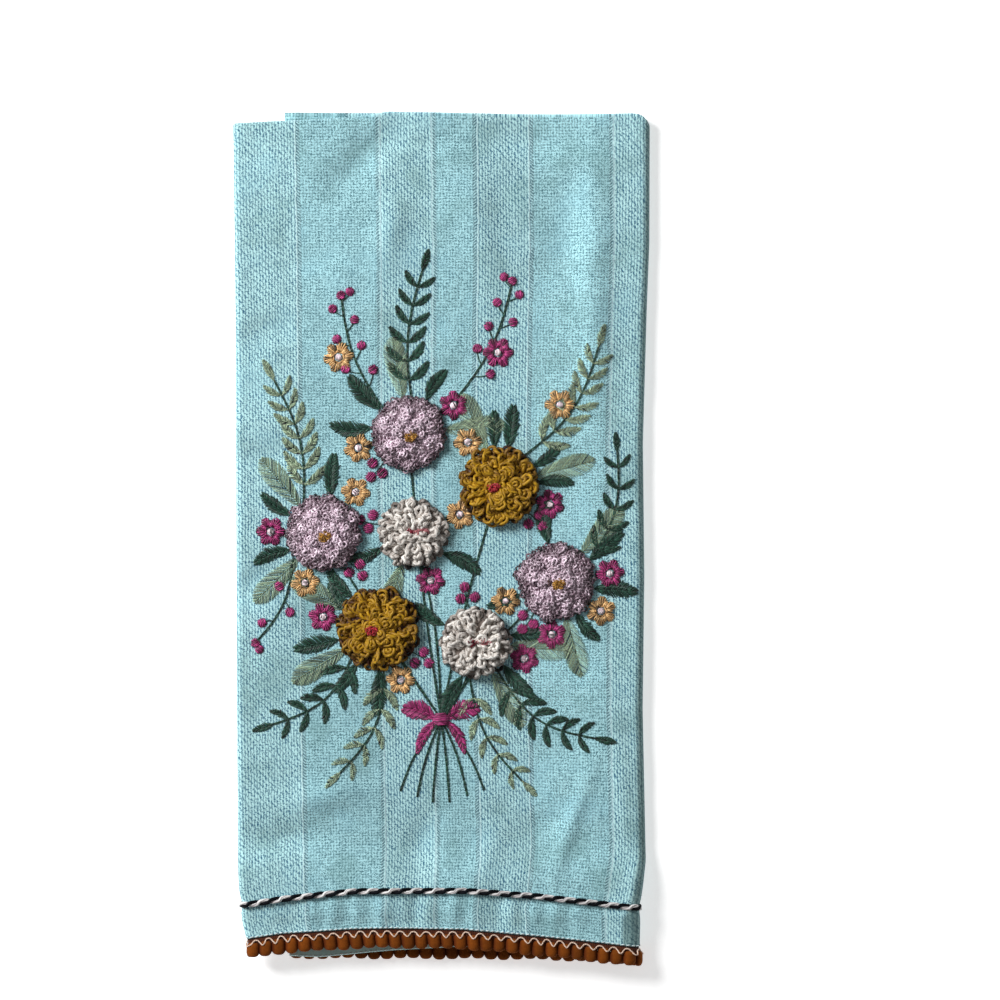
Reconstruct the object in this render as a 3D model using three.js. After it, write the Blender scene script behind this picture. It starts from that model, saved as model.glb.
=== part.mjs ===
// Embroidered cotton dish towel, folded in half across and then in thirds.
//
// The front half of the towel carries the flowers, a twisted cord and a bobble trim, the back half
// has a plain hem. The fold across lies at +Y, and both hems lie together at -Y. The left third is
// turned under first and the right third is turned under it, so the pack has six layers. From the
// top they are: front centre, back centre, back left, front left, back right and front right.
//
// Units are millimetres. X points to the right of the front, Y to the fold across, and Z up. The
// origin is on the table, in the middle of the pack's footprint.

import * as THREE from 'three';

const { lerp, smoothstep, degToRad } = THREE.MathUtils;

// ---------------------------------------------------------------- driving dimensions

const CLOTH = 1.0; // thickness of the woven cloth
const HALF_PITCH = 0.7; // from the middle of a layer to the middle between it and the next
const SEAM_GAP = 0.3; // play between two pieces that touch
const LEFT_THIRD_EDGE = 65; // the selvedge of the left third lies this far right, inside the pack

const CORD = { width: 3.2, height: 2.6, pressed: 1.5, sides: 6 }; // pressed: where cloth lies on it
const TRIM = {
  pitch: 5.5, // from one bobble to the next
  tape: 2.0, // visible width of the woven tape
  length: 8.9, // from the hem to the lower end of the bobbles
  shoulder: 1.0, // slope at both ends of a bobble
  flat: 0.76, // share of the pitch over which a bobble has its full size
  thick: { left: 3.0, centre: 3.8, right: 3.6 }, // the hidden rows are pressed
  halfTape: { hem: 0.5, edge: 0.4, nub: 0.3 }, // half the tape's thickness from its hem down
};
const BLOOM = { height: 6.6, lobes: 9, lobeDepth: 0.05, sectors: 18 };

const COLOURS = {
  cloth: 0x96c4cb,
  cord: 0x22242e,
  trim: 0x7a451c,
  ochre: 0x8a661f,
  cream: 0xe6e0d4,
  lilac: 0xb496a8,
};

// ---------------------------------------------------------------- tables of the folded shape

// Left and right outline of the pack, going up from the hems. The cord draws the sides in.
const sides = [
  { y: -170, left: -81.3, right: 83.6 },
  { y: -161.5, left: -83.4, right: 83.8 },
  { y: -158.5, left: -83.3, right: 83.0 },
  { y: -150.5, left: -83.4, right: 83.2 },
  { y: -146, left: -85.0, right: 85.0 },
  { y: -135.5, left: -85.4, right: 86.2 },
  { y: -72, left: -85.9, right: 84.9 },
  { y: -16, left: -86.1, right: 85.6 },
  { y: 40, left: -86.3, right: 85.0 },
  { y: 96, left: -86.6, right: 86.6 },
  { y: 124, left: -86.9, right: 87.7 },
  { y: 180, left: -87.6, right: 87.9 },
];

// Selvedge of the right third, which lies undermost and shows at both ends.
const rightThirdEdge = [
  { y: -178, x: -63.8 },
  { y: 180, x: -65.9 },
];

// Fold across (top) and the two hems of each third, by their place from left to right.
const ends = {
  left: [
    { x: -80, top: 174.8, front: -168.0, back: -167.2 },
    { x: -66, top: 174.9, front: -166.2, back: -165.4 },
    { x: -36, top: 175.2, front: -163.9, back: -163.1 },
    { x: -6, top: 175.4, front: -163.6, back: -162.8 },
    { x: 30, top: 175.7, front: -165.0, back: -164.2 },
    { x: 65, top: 176.0, front: -166.5, back: -165.7 },
  ],
  centre: [
    { x: -84, top: 174.6, front: -168.6, back: -167.8 },
    { x: -66, top: 175.5, front: -166.0, back: -165.2 },
    { x: -36, top: 176.8, front: -164.1, back: -163.3 },
    { x: -22, top: 179.4, front: -163.8, back: -163.0 },
    { x: 10, top: 178.7, front: -164.3, back: -163.5 },
    { x: 40, top: 178.1, front: -167.0, back: -166.2 },
    { x: 67, top: 178.2, front: -169.9, back: -169.1 },
    { x: 80, top: 178.4, front: -171.5, back: -174.5 },
    { x: 85, top: 177.2, front: -171.8, back: -176.0 },
  ],
  right: [
    { x: -66, top: 179.4, front: -169.0, back: -175.8 },
    { x: -51, top: 179.3, front: -169.0, back: -176.4 },
    { x: -22, top: 179.1, front: -169.1, back: -173.6 },
    { x: 10, top: 178.9, front: -169.2, back: -171.9 },
    { x: 40, top: 178.7, front: -169.5, back: -172.6 },
    { x: 67, top: 178.6, front: -170.4, back: -175.0 },
    { x: 80, top: 178.4, front: -171.4, back: -176.0 },
    { x: 85, top: 177.2, front: -171.8, back: -176.0 },
  ],
};

// Height of the middle of each layer. The pack lies flat from the fold across down to the cord,
// which lifts it three times over, and the bobble rows keep the hems apart.
const heights = {
  front: [
    { y: -161.5, right: 1.8, left: 6.8, centre: 11.0 },
    { y: -158.5, right: 2.6, left: 7.4, centre: 11.6 },
    { y: -146, right: 2.6, left: 7.4, centre: 11.6 },
    { y: -125, right: 0.5, left: 3.3, centre: 7.5 },
  ],
  back: [
    { y: -161.5, right: 4.5, left: 8.2, centre: 9.6 },
    { y: -158.5, right: 4.0, left: 8.8, centre: 10.2 },
    { y: -146, right: 4.0, left: 8.8, centre: 10.2 },
    { y: -125, right: 1.9, left: 4.7, centre: 6.1 },
  ],
};

// Past the hidden selvedge of the left third the upper layers sink, by this much at the right fold.
const sinks = [
  { y: -161.5, front: 0, back: 1.5 },
  { y: -146, front: 0.8, back: 0.8 },
  { y: -125, front: 1.0, back: 1.0 },
];

// Broad ridges that the folding left in the upper layers. Half lengths and half widths of soft
// swellings, and the heading of each ridge from the X axis.
const ridges = [
  { x: 61, y: 94, heading: 90, length: 60, width: 13, rise: 1.1 },
  { x: -28, y: 133, heading: 78, length: 28, width: 13, rise: 0.9 },
  { x: 8, y: 138, heading: 100, length: 30, width: 13, rise: 1.0 },
  { x: -44, y: 166, heading: 35, length: 22, width: 12, rise: 0.7 },
  { x: -68, y: 42, heading: 5, length: 22, width: 16, rise: 0.7 },
  { x: -2, y: -56, heading: 64, length: 28, width: 14, rise: 0.8 },
  { x: -52, y: -104, heading: 12, length: 24, width: 14, rise: 0.8 },
  { x: 53, y: -112, heading: 76, length: 26, width: 12, rise: 1.0 },
];

// How much of a ridge each layer takes up: all of it on top, none on the table.
const reliefShare = {
  front: { left: 0.07, centre: 1.0, right: 0 },
  back: { left: 0.2, centre: 0.5, right: 0 },
};

// The cord's way over the front, from the left fold to the right one, and on under the pack.
const cordLine = {
  left: [{ x: -80, y: -153.2 }, { x: 65, y: -153.0 }],
  centre: [
    { x: -84, y: -153.5 },
    { x: -66, y: -151.3 },
    { x: -36, y: -148.8 },
    { x: 10, y: -148.6 },
    { x: 40, y: -151.0 },
    { x: 84, y: -155.2 },
  ],
  right: [{ x: -66, y: -153.0 }, { x: 84, y: -155.2 }],
};

// Raised blooms of looped yarn, sewn to the front in a bouquet.
const blooms = [
  { name: 'bloom_ochre_low', yarn: 'ochre', x: -27, y: -38, radius: 17.5 },
  { name: 'bloom_cream_low', yarn: 'cream', x: 14, y: -44, radius: 15.5 },
  { name: 'bloom_lilac_right', yarn: 'lilac', x: 48, y: -18, radius: 16.5 },
  { name: 'bloom_lilac_left', yarn: 'lilac', x: -50, y: 2, radius: 16.0 },
  { name: 'bloom_cream_middle', yarn: 'cream', x: -12, y: 2, radius: 15.0 },
  { name: 'bloom_ochre_high', yarn: 'ochre', x: 24, y: 22, radius: 16.5 },
  { name: 'bloom_lilac_high', yarn: 'lilac', x: -14, y: 44, radius: 16.0 },
];

// Where the cloth's mesh has its columns and rows. The bends get columns of their own.
const columnsX = {
  left: [54, 26, -6, -36, -66],
  centre: [-66, -51, -36, -22, -6, 10, 26, 40, 54, 67],
  right: [67, 40, 10, -22, -51],
};
const rowsY = [-161.5, -158.5, -150.5, -146, -135.5, -125, -98, -70, -42, -14, 14, 42, 70, 98, 126, 150];
const BEND_STEPS = 4;

// Where the outline is read for the hems, the cord and the fold across.
const HEM_Y = -168;
const CORD_Y = -152;
const FOLD_Y = 175;

// ---------------------------------------------------------------- reading the tables

/** One column of a table, read at a place between its rows. */
function read(table, key, at, column, ease = (t) => t) {
  const next = table.findIndex((row) => row[key] > at);
  if (next === 0) return table[0][column];
  if (next < 0) return table[table.length - 1][column];
  const [low, high] = [table[next - 1], table[next]];
  const share = (at - low[key]) / (high[key] - low[key]);
  return lerp(low[column], high[column], ease(share));
}

const soft = (t) => smoothstep(t, 0, 1);

/** Height of the ridges over a place in plan. */
function relief(x, y) {
  let rise = 0;
  for (const ridge of ridges) {
    const turn = degToRad(ridge.heading);
    const along = (x - ridge.x) * Math.cos(turn) + (y - ridge.y) * Math.sin(turn);
    const across = (y - ridge.y) * Math.cos(turn) - (x - ridge.x) * Math.sin(turn);
    rise += ridge.rise * Math.exp(-((along / ridge.length) ** 2) - (across / ridge.width) ** 2);
  }
  return rise;
}

/** Level of one half's layer in one third, before the ridges. */
function level(half, third, x, y) {
  const height = read(heights[half], 'y', y, third, soft);
  if (third !== 'centre') return height;
  return height - read(sinks, 'y', y, half, soft) * smoothstep(x, LEFT_THIRD_EDGE + 1, 80);
}

// ---------------------------------------------------------------- the folded section

// A place across the towel is one number. It runs from 0 to 1 over the left third, to 2 round the
// left fold, to 3 over the centre, to 4 round the right fold and to 5 over the right third.
const STRETCH = { left: 0, leftFold: 1, centre: 2, rightFold: 3, right: 4 };
const PLACES = 5;

/** Middle and radius of the bend of one half at a side fold. */
function bend(half, fold, y) {
  const isLeft = fold === 'leftFold';
  const lowerThird = isLeft ? 'left' : 'right';
  const edgeX = read(sides, 'y', y, isLeft ? 'left' : 'right');
  const radiusOf = (side) => (level(side, 'centre', edgeX, y) - level(side, lowerThird, edgeX, y)) / 2;
  const inset = radiusOf('front') + CLOTH / 2;
  const radius = radiusOf(half);
  const z = level(half, lowerThird, edgeX, y) + radius;
  return { x: isLeft ? edgeX + inset : edgeX - inset, z, radius };
}

/** X of a place on a straight stretch. */
function straightX(stretch, share, y) {
  const leftBend = bend('front', 'leftFold', y).x;
  const rightBend = bend('front', 'rightFold', y).x;
  if (stretch === STRETCH.left) return lerp(LEFT_THIRD_EDGE, leftBend, share);
  if (stretch === STRETCH.centre) return lerp(leftBend, rightBend, share);
  return lerp(rightBend, read(rightThirdEdge, 'y', y, 'x'), share);
}

/** Place across the towel of a column that keeps its X. */
function placeOfX(stretch, x, y) {
  const from = straightX(stretch, 0, y);
  const to = straightX(stretch, 1, y);
  return stretch + (x - from) / (to - from);
}

/** Point in the middle of the cloth of one half. */
function layerPoint(half, place, y) {
  const stretch = Math.min(Math.floor(place), STRETCH.right);
  const share = place - stretch;
  const shares = reliefShare[half];
  if (stretch === STRETCH.leftFold || stretch === STRETCH.rightFold) {
    const isLeft = stretch === STRETCH.leftFold;
    const { x, z, radius } = bend(half, isLeft ? 'leftFold' : 'rightFold', y);
    const turn = Math.PI * (isLeft ? share : 1 - share);
    const out = radius * Math.sin(turn);
    const point = new THREE.Vector3(isLeft ? x - out : x + out, y, z - radius * Math.cos(turn));
    const lower = isLeft ? shares.left : shares.right;
    point.z += relief(point.x, y) * lerp(lower, shares.centre, (1 - Math.cos(turn)) / 2);
    return point;
  }
  const third = { [STRETCH.left]: 'left', [STRETCH.centre]: 'centre', [STRETCH.right]: 'right' }[stretch];
  const x = straightX(stretch, share, y);
  return new THREE.Vector3(x, y, level(half, third, x, y) + relief(x, y) * shares[third]);
}

/** Third whose tables hold at a place across the towel. The folds belong to the centre. */
function thirdAt(place) {
  if (place <= STRETCH.leftFold) return 'left';
  return place < STRETCH.right ? 'centre' : 'right';
}

/** Y of a hem or of the fold across (the column called end) at a place across the towel. */
function endAt(end, place) {
  const y = end === 'top' ? FOLD_Y : HEM_Y;
  return read(ends[thirdAt(place)], 'x', layerPoint('front', place, y).x, end);
}

/** Outward direction of the front's face at a place, in the XZ plane. */
function outward(place, y) {
  const step = 0.01;
  const from = layerPoint('front', Math.max(place - step, 0), y);
  const to = layerPoint('front', Math.min(place + step, PLACES), y);
  return new THREE.Vector3(from.z - to.z, 0, to.x - from.x).normalize();
}

// ---------------------------------------------------------------- closed meshes

/** Geometry from points and triangles, with flat faces pointing out. */
function closedGeometry(points, triangles) {
  const corners = triangles.map((triangle) => triangle.map((index) => points[index]));
  const volume = corners.reduce((sum, [a, b, c]) => sum + a.dot(new THREE.Vector3().crossVectors(b, c)), 0);
  const facing = volume > 0 ? triangles : triangles.map(([a, b, c]) => [a, c, b]);
  const geometry = new THREE.BufferGeometry().setFromPoints(points);
  geometry.setIndex(facing.flat());
  geometry.computeVertexNormals();
  return geometry;
}

/** Closed solid through a row of rings that all have the same number of points. */
function ringSolid(rings) {
  const count = rings[0].length;
  const triangles = [];
  for (let ring = 0; ring + 1 < rings.length; ring += 1) {
    for (let side = 0; side < count; side += 1) {
      const next = (side + 1) % count;
      const [a, b] = [ring * count + side, ring * count + next];
      const [d, c] = [a + count, b + count];
      triangles.push([a, b, c], [a, c, d]);
    }
  }
  const last = (rings.length - 1) * count;
  for (let side = 1; side + 1 < count; side += 1) {
    triangles.push([0, side + 1, side], [last, last + side, last + side + 1]);
  }
  return closedGeometry(rings.flat(), triangles);
}

/** Closed solid of even thickness round a grid of points; diagonal tells how to halve each cell. */
function sheetSolid(grid, thickness, diagonal) {
  const rows = grid.length;
  const columns = grid[0].length;
  const at = (row, column) => row * columns + column;
  const face = [];
  for (let row = 0; row + 1 < rows; row += 1) {
    for (let column = 0; column + 1 < columns; column += 1) {
      const [a, b] = [at(row, column), at(row, column + 1)];
      const [d, c] = [at(row + 1, column), at(row + 1, column + 1)];
      face.push(...(diagonal(row, column) ? [[a, b, c], [a, c, d]] : [[a, b, d], [b, c, d]]));
    }
  }
  const middle = new THREE.BufferGeometry().setFromPoints(grid.flat());
  middle.setIndex(face.flat());
  middle.computeVertexNormals();
  const normals = middle.getAttribute('normal');
  const offset = (side) => grid.flat().map((point, index) => {
    const normal = new THREE.Vector3().fromBufferAttribute(normals, index);
    return point.clone().addScaledVector(normal, (side * thickness) / 2);
  });
  const shift = rows * columns;
  const rim = [];
  for (let column = 0; column < columns; column += 1) rim.push(at(0, column));
  for (let row = 1; row < rows; row += 1) rim.push(at(row, columns - 1));
  for (let column = columns - 2; column >= 0; column -= 1) rim.push(at(rows - 1, column));
  for (let row = rows - 2; row > 0; row -= 1) rim.push(at(row, 0));
  const walls = rim.flatMap((here, index) => {
    const next = rim[(index + 1) % rim.length];
    return [[here, here + shift, next + shift], [here, next + shift, next]];
  });
  const back = face.map(([a, b, c]) => [a + shift, c + shift, b + shift]);
  return closedGeometry([...offset(1), ...offset(-1)], [...face, ...back, ...walls]);
}

// ---------------------------------------------------------------- the pieces

/** Places of the cloth's columns, each as a function of the row's Y. */
function clothColumns() {
  const straight = (third) => columnsX[third].map((x) => (y) => placeOfX(STRETCH[third], x, y));
  const steps = Array.from({ length: BEND_STEPS + 1 }, (_, step) => step / BEND_STEPS);
  const round = (fold) => steps.map((share) => () => STRETCH[fold] + share);
  const left = [() => STRETCH.left, ...straight('left'), ...round('leftFold')];
  const right = [...round('rightFold'), ...straight('right'), () => PLACES];
  return [...left, ...straight('centre'), ...right];
}

/** The towel itself: up the front from its hem, over the fold across and down the back. */
function makeCloth() {
  const columns = clothColumns().map((placeAt) => {
    const foldMiddle = endAt('top', placeAt(FOLD_Y)) - CLOTH / 2 - HALF_PITCH;
    const hem = (half) => endAt(half, placeAt(HEM_Y));
    const up = (half) => [hem(half), ...rowsY, foldMiddle].map((y) => layerPoint(half, placeAt(y), y));
    const [front, back] = [up('front'), up('back')];
    const [f, b] = [front.at(-1), back.at(-1)];
    const middle = f.clone().lerp(b, 0.5);
    const arm = f.clone().sub(middle);
    const crest = Array.from({ length: BEND_STEPS - 1 }, (_, step) => {
      const turn = ((step + 1) * Math.PI) / BEND_STEPS;
      const upwards = new THREE.Vector3(0, arm.length() * Math.sin(turn), 0);
      return middle.clone().addScaledVector(arm, Math.cos(turn)).add(upwards);
    });
    return [...front, ...crest, ...back.reverse()];
  });
  const grid = columns[0].map((_, row) => columns.map((column) => column[row]));
  const topRow = grid.length / 2;
  const goesRight = columns.slice(1).map((column, index) => column[1].x > columns[index][1].x);
  return sheetSolid(grid, CLOTH, (row, column) => goesRight[column] === row < topRow);
}

/** Twisted cord over the face of the front half, from selvedge to selvedge. */
function makeCord() {
  const places = clothColumns().map((placeAt) => placeAt(CORD_Y));
  const rings = places.map((place) => {
    const y = read(cordLine[thirdAt(place)], 'x', layerPoint('front', place, CORD_Y).x, 'y');
    const open = smoothstep(place, 1.6, 2) * (1 - smoothstep(place, 3, 3.4));
    const height = lerp(CORD.pressed, CORD.height, open);
    const out = outward(place, y);
    const middle = layerPoint('front', place, y).addScaledVector(out, CLOTH / 2 + SEAM_GAP + height / 2);
    const cornerRise = height / 2 / Math.cos(Math.PI / CORD.sides);
    return Array.from({ length: CORD.sides }, (_, side) => {
      const turn = (side * 2 * Math.PI) / CORD.sides;
      const sideways = new THREE.Vector3(0, (CORD.width / 2) * Math.cos(turn), 0);
      return middle.clone().addScaledVector(out, cornerRise * Math.sin(turn)).add(sideways);
    });
  });
  return ringSolid(rings);
}

/** Whole pitches along the front's hem, and the place across the towel after so many of them. */
function hemPitches(pitch) {
  const samples = Array.from({ length: 1001 }, (_, index) => (index * PLACES) / 1000);
  const travelled = [0];
  for (let index = 1; index < samples.length; index += 1) {
    const from = layerPoint('front', samples[index - 1], HEM_Y);
    travelled.push(travelled[index - 1] + from.distanceTo(layerPoint('front', samples[index], HEM_Y)));
  }
  const total = travelled.at(-1);
  const count = Math.round(total / pitch);
  const path = samples.map((place, index) => ({ at: travelled[index], place }));
  return { count, placeAfter: (number) => read(path, 'at', (number * total) / count, 'place') };
}

/** Tape and bobbles below the front's hem: one comb that goes round both folds. */
function makeTrim() {
  const { count, placeAfter } = hemPitches(TRIM.pitch);
  const { hem: hemHalf, edge: edgeHalf, nub: nubHalf } = TRIM.halfTape;
  const thickness = (place) => {
    if (place >= STRETCH.rightFold) return TRIM.thick.right;
    const freed = smoothstep(place, STRETCH.centre, STRETCH.centre + 0.1);
    return lerp(TRIM.thick.left, TRIM.thick.centre, freed);
  };
  const ringAt = (number, isGap) => {
    const place = placeAfter(number);
    const hem = endAt('front', place);
    const half = thickness(place) / 2;
    const tail = TRIM.length - SEAM_GAP;
    const profile = isGap
      ? [[0, hemHalf], [TRIM.tape, edgeHalf], [TRIM.tape + CLOTH / 2, nubHalf]]
      : [[0, hemHalf], [TRIM.tape + TRIM.shoulder, half], [tail - TRIM.shoulder, half]];
    const loop = [...profile, ...profile.map(([down, out]) => [down, -out]).reverse()];
    return loop.map(([down, out]) => {
      const y = hem - SEAM_GAP - down;
      return layerPoint('front', place, y).addScaledVector(outward(place, y), out);
    });
  };
  const rings = [];
  for (let bobble = 0; bobble < count; bobble += 1) {
    rings.push(ringAt(bobble, true));
    rings.push(ringAt(bobble + 0.5 - TRIM.flat / 2, false));
    rings.push(ringAt(bobble + 0.5 + TRIM.flat / 2, false));
  }
  rings.push(ringAt(count, true));
  return ringSolid(rings);
}

/** Low lobed dome of one bloom, standing on the highest cloth under it. */
function makeBloom({ x, y, radius }) {
  const sector = (2 * Math.PI) / BLOOM.sectors;
  const angles = Array.from({ length: BLOOM.sectors }, (_, number) => number * sector);
  const topOfCloth = (px, py) => level('front', 'centre', px, py) + relief(px, py) + CLOTH / 2;
  const seats = angles.flatMap((turn) => [0.5, 1].map((share) =>
    topOfCloth(x + share * radius * Math.cos(turn), y + share * radius * Math.sin(turn))));
  const seat = Math.max(...seats, topOfCloth(x, y)) + SEAM_GAP;
  const profile = [
    { share: 0.3, rise: 0 },
    { share: 0.95, rise: 0 },
    { share: 1.0, rise: 0.35 },
    { share: 0.78, rise: 0.86 },
    { share: 0.3, rise: 1.0 },
  ];
  const rings = profile.map(({ share, rise }) => angles.map((turn) => {
    const reach = radius * share * (1 + BLOOM.lobeDepth * share * Math.cos(BLOOM.lobes * turn));
    const z = seat + rise * BLOOM.height;
    return new THREE.Vector3(x + reach * Math.cos(turn), y + reach * Math.sin(turn), z);
  }));
  return ringSolid(rings);
}

// ---------------------------------------------------------------- assembly

const towel = new THREE.Group();

/** Adds one named piece in its own material. */
function add(name, geometry, colour, roughness) {
  const material = new THREE.MeshStandardMaterial({ color: colour, roughness, metalness: 0 });
  const mesh = new THREE.Mesh(geometry, material);
  mesh.name = name;
  towel.add(mesh);
}

add('towel_cloth', makeCloth(), COLOURS.cloth, 0.95);
add('twisted_cord', makeCord(), COLOURS.cord, 0.8);
add('bobble_trim', makeTrim(), COLOURS.trim, 0.85);
for (const bloom of blooms) add(bloom.name, makeBloom(bloom), COLOURS[bloom.yarn], 0.9);

export default towel;
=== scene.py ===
"""Looks of a folded, embroidered dish towel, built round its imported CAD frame.

The towel is folded in half across and then in thirds. Every piece takes its place from the same
folded shape as the CAD solids. Sizes are in millimetres until a mesh is made of them.
"""

import logging
import math
from collections.abc import Callable, Mapping, Sequence
from dataclasses import dataclass, field
from enum import Enum

import bpy
import numpy as np
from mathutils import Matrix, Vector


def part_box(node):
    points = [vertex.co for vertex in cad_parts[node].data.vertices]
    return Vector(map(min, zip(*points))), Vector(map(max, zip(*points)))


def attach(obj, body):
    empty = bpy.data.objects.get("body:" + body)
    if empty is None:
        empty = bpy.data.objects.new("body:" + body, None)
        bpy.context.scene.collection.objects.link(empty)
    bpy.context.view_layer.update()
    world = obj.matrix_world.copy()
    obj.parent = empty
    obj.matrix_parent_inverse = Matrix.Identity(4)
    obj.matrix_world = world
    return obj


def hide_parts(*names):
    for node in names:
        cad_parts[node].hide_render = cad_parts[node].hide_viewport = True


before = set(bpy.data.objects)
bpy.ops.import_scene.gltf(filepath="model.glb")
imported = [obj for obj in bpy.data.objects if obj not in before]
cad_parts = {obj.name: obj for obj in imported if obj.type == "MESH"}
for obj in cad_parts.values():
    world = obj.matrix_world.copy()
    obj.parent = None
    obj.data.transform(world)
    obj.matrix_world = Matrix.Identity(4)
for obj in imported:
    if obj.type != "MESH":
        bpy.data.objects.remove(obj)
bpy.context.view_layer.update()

log = logging.getLogger("dish_towel")

Array = np.ndarray
Colour = tuple[float, ...]
Pair = tuple[float, float]
Piece = bpy.types.Object
Node = bpy.types.Node

MM = 0.001
GOLDEN_TURN = math.pi * (3 - math.sqrt(5))


# ---- small helpers


def smooth(share: Array) -> Array:
    """Soft step from 0 to 1."""
    share = np.clip(share, 0, 1)
    return share * share * (3 - 2 * share)


def unit(vectors: Array) -> Array:
    """Vectors of length one."""
    return vectors / np.maximum(np.linalg.norm(vectors, axis=-1, keepdims=True), 1e-12)


def srgb(red: int, green: int, blue: int) -> Colour:
    """Linear colour of three display values.

    Args:
        red, green, blue: the values, from 0 to 255.

    Returns:
        The colour, with full alpha.
    """
    channels = [v / 255 for v in (red, green, blue)]
    linear = [c / 12.92 if c <= 0.04045 else ((c + 0.055) / 1.055) ** 2.4 for c in channels]
    return (*linear, 1.0)


@dataclass(frozen=True)
class Table:
    """A short table of named columns. Its first column is the one that it is read by.

    Args:
        names: the names of the columns, with spaces between them.
        rows: one tuple for each row, going up in the first column.
    """

    names: str
    rows: tuple[tuple[float, ...], ...]

    def column(self, name: str) -> Array:
        """Every value of one column."""
        return np.array(self.rows, float)[:, self.names.split().index(name)]

    def read(self, name: str, at: Array, soft: bool = False) -> Array:
        """Reads a column between the table's rows.

        Args:
            name: the column that is read.
            at: places in the first column.
            soft: whether to ease from row to row.

        Returns:
            The value at each place; past the ends, the last row's.
        """
        keys, values = np.array(self.rows, float)[:, 0], self.column(name)
        cell = np.clip(np.searchsorted(keys, at, side="right") - 1, 0, len(keys) - 2)
        share = np.clip((at - keys[cell]) / (keys[cell + 1] - keys[cell]), 0, 1)
        share = smooth(share) if soft else share
        return values[cell] * (1 - share) + values[cell + 1] * share


def table(names: str, *rows: tuple[float, ...]) -> Table:
    """A table from the names of its columns and its rows."""
    return Table(names, rows)


# ---- the folded shape


class Half(Enum):
    """The two halves of the towel that the fold across parts."""

    FRONT = "front"
    BACK = "back"


class Third(Enum):
    """The thirds that the two side folds part."""

    LEFT = "left"
    CENTRE = "centre"
    RIGHT = "right"


@dataclass(frozen=True)
class Swelling:
    """A soft ridge, or a trough where its rise is negative. Its heading is in degrees."""

    x: float
    y: float
    heading: float
    length: float
    width: float
    rise: float

    def height(self, x: Array, y: Array) -> Array:
        """Its share of the height at places in plan.

        Args:
            x, y: the places.

        Returns:
            Its rise at each place.
        """
        turn = math.radians(self.heading)
        along = (x - self.x) * math.cos(turn) + (y - self.y) * math.sin(turn)
        across = (y - self.y) * math.cos(turn) - (x - self.x) * math.sin(turn)
        return self.rise * np.exp(-((along / self.length) ** 2) - (across / self.width) ** 2)


def swellings(*rows: tuple[float, ...]) -> tuple[Swelling, ...]:
    """Swellings, each from its row of values."""
    return tuple(Swelling(*row) for row in rows)


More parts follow.
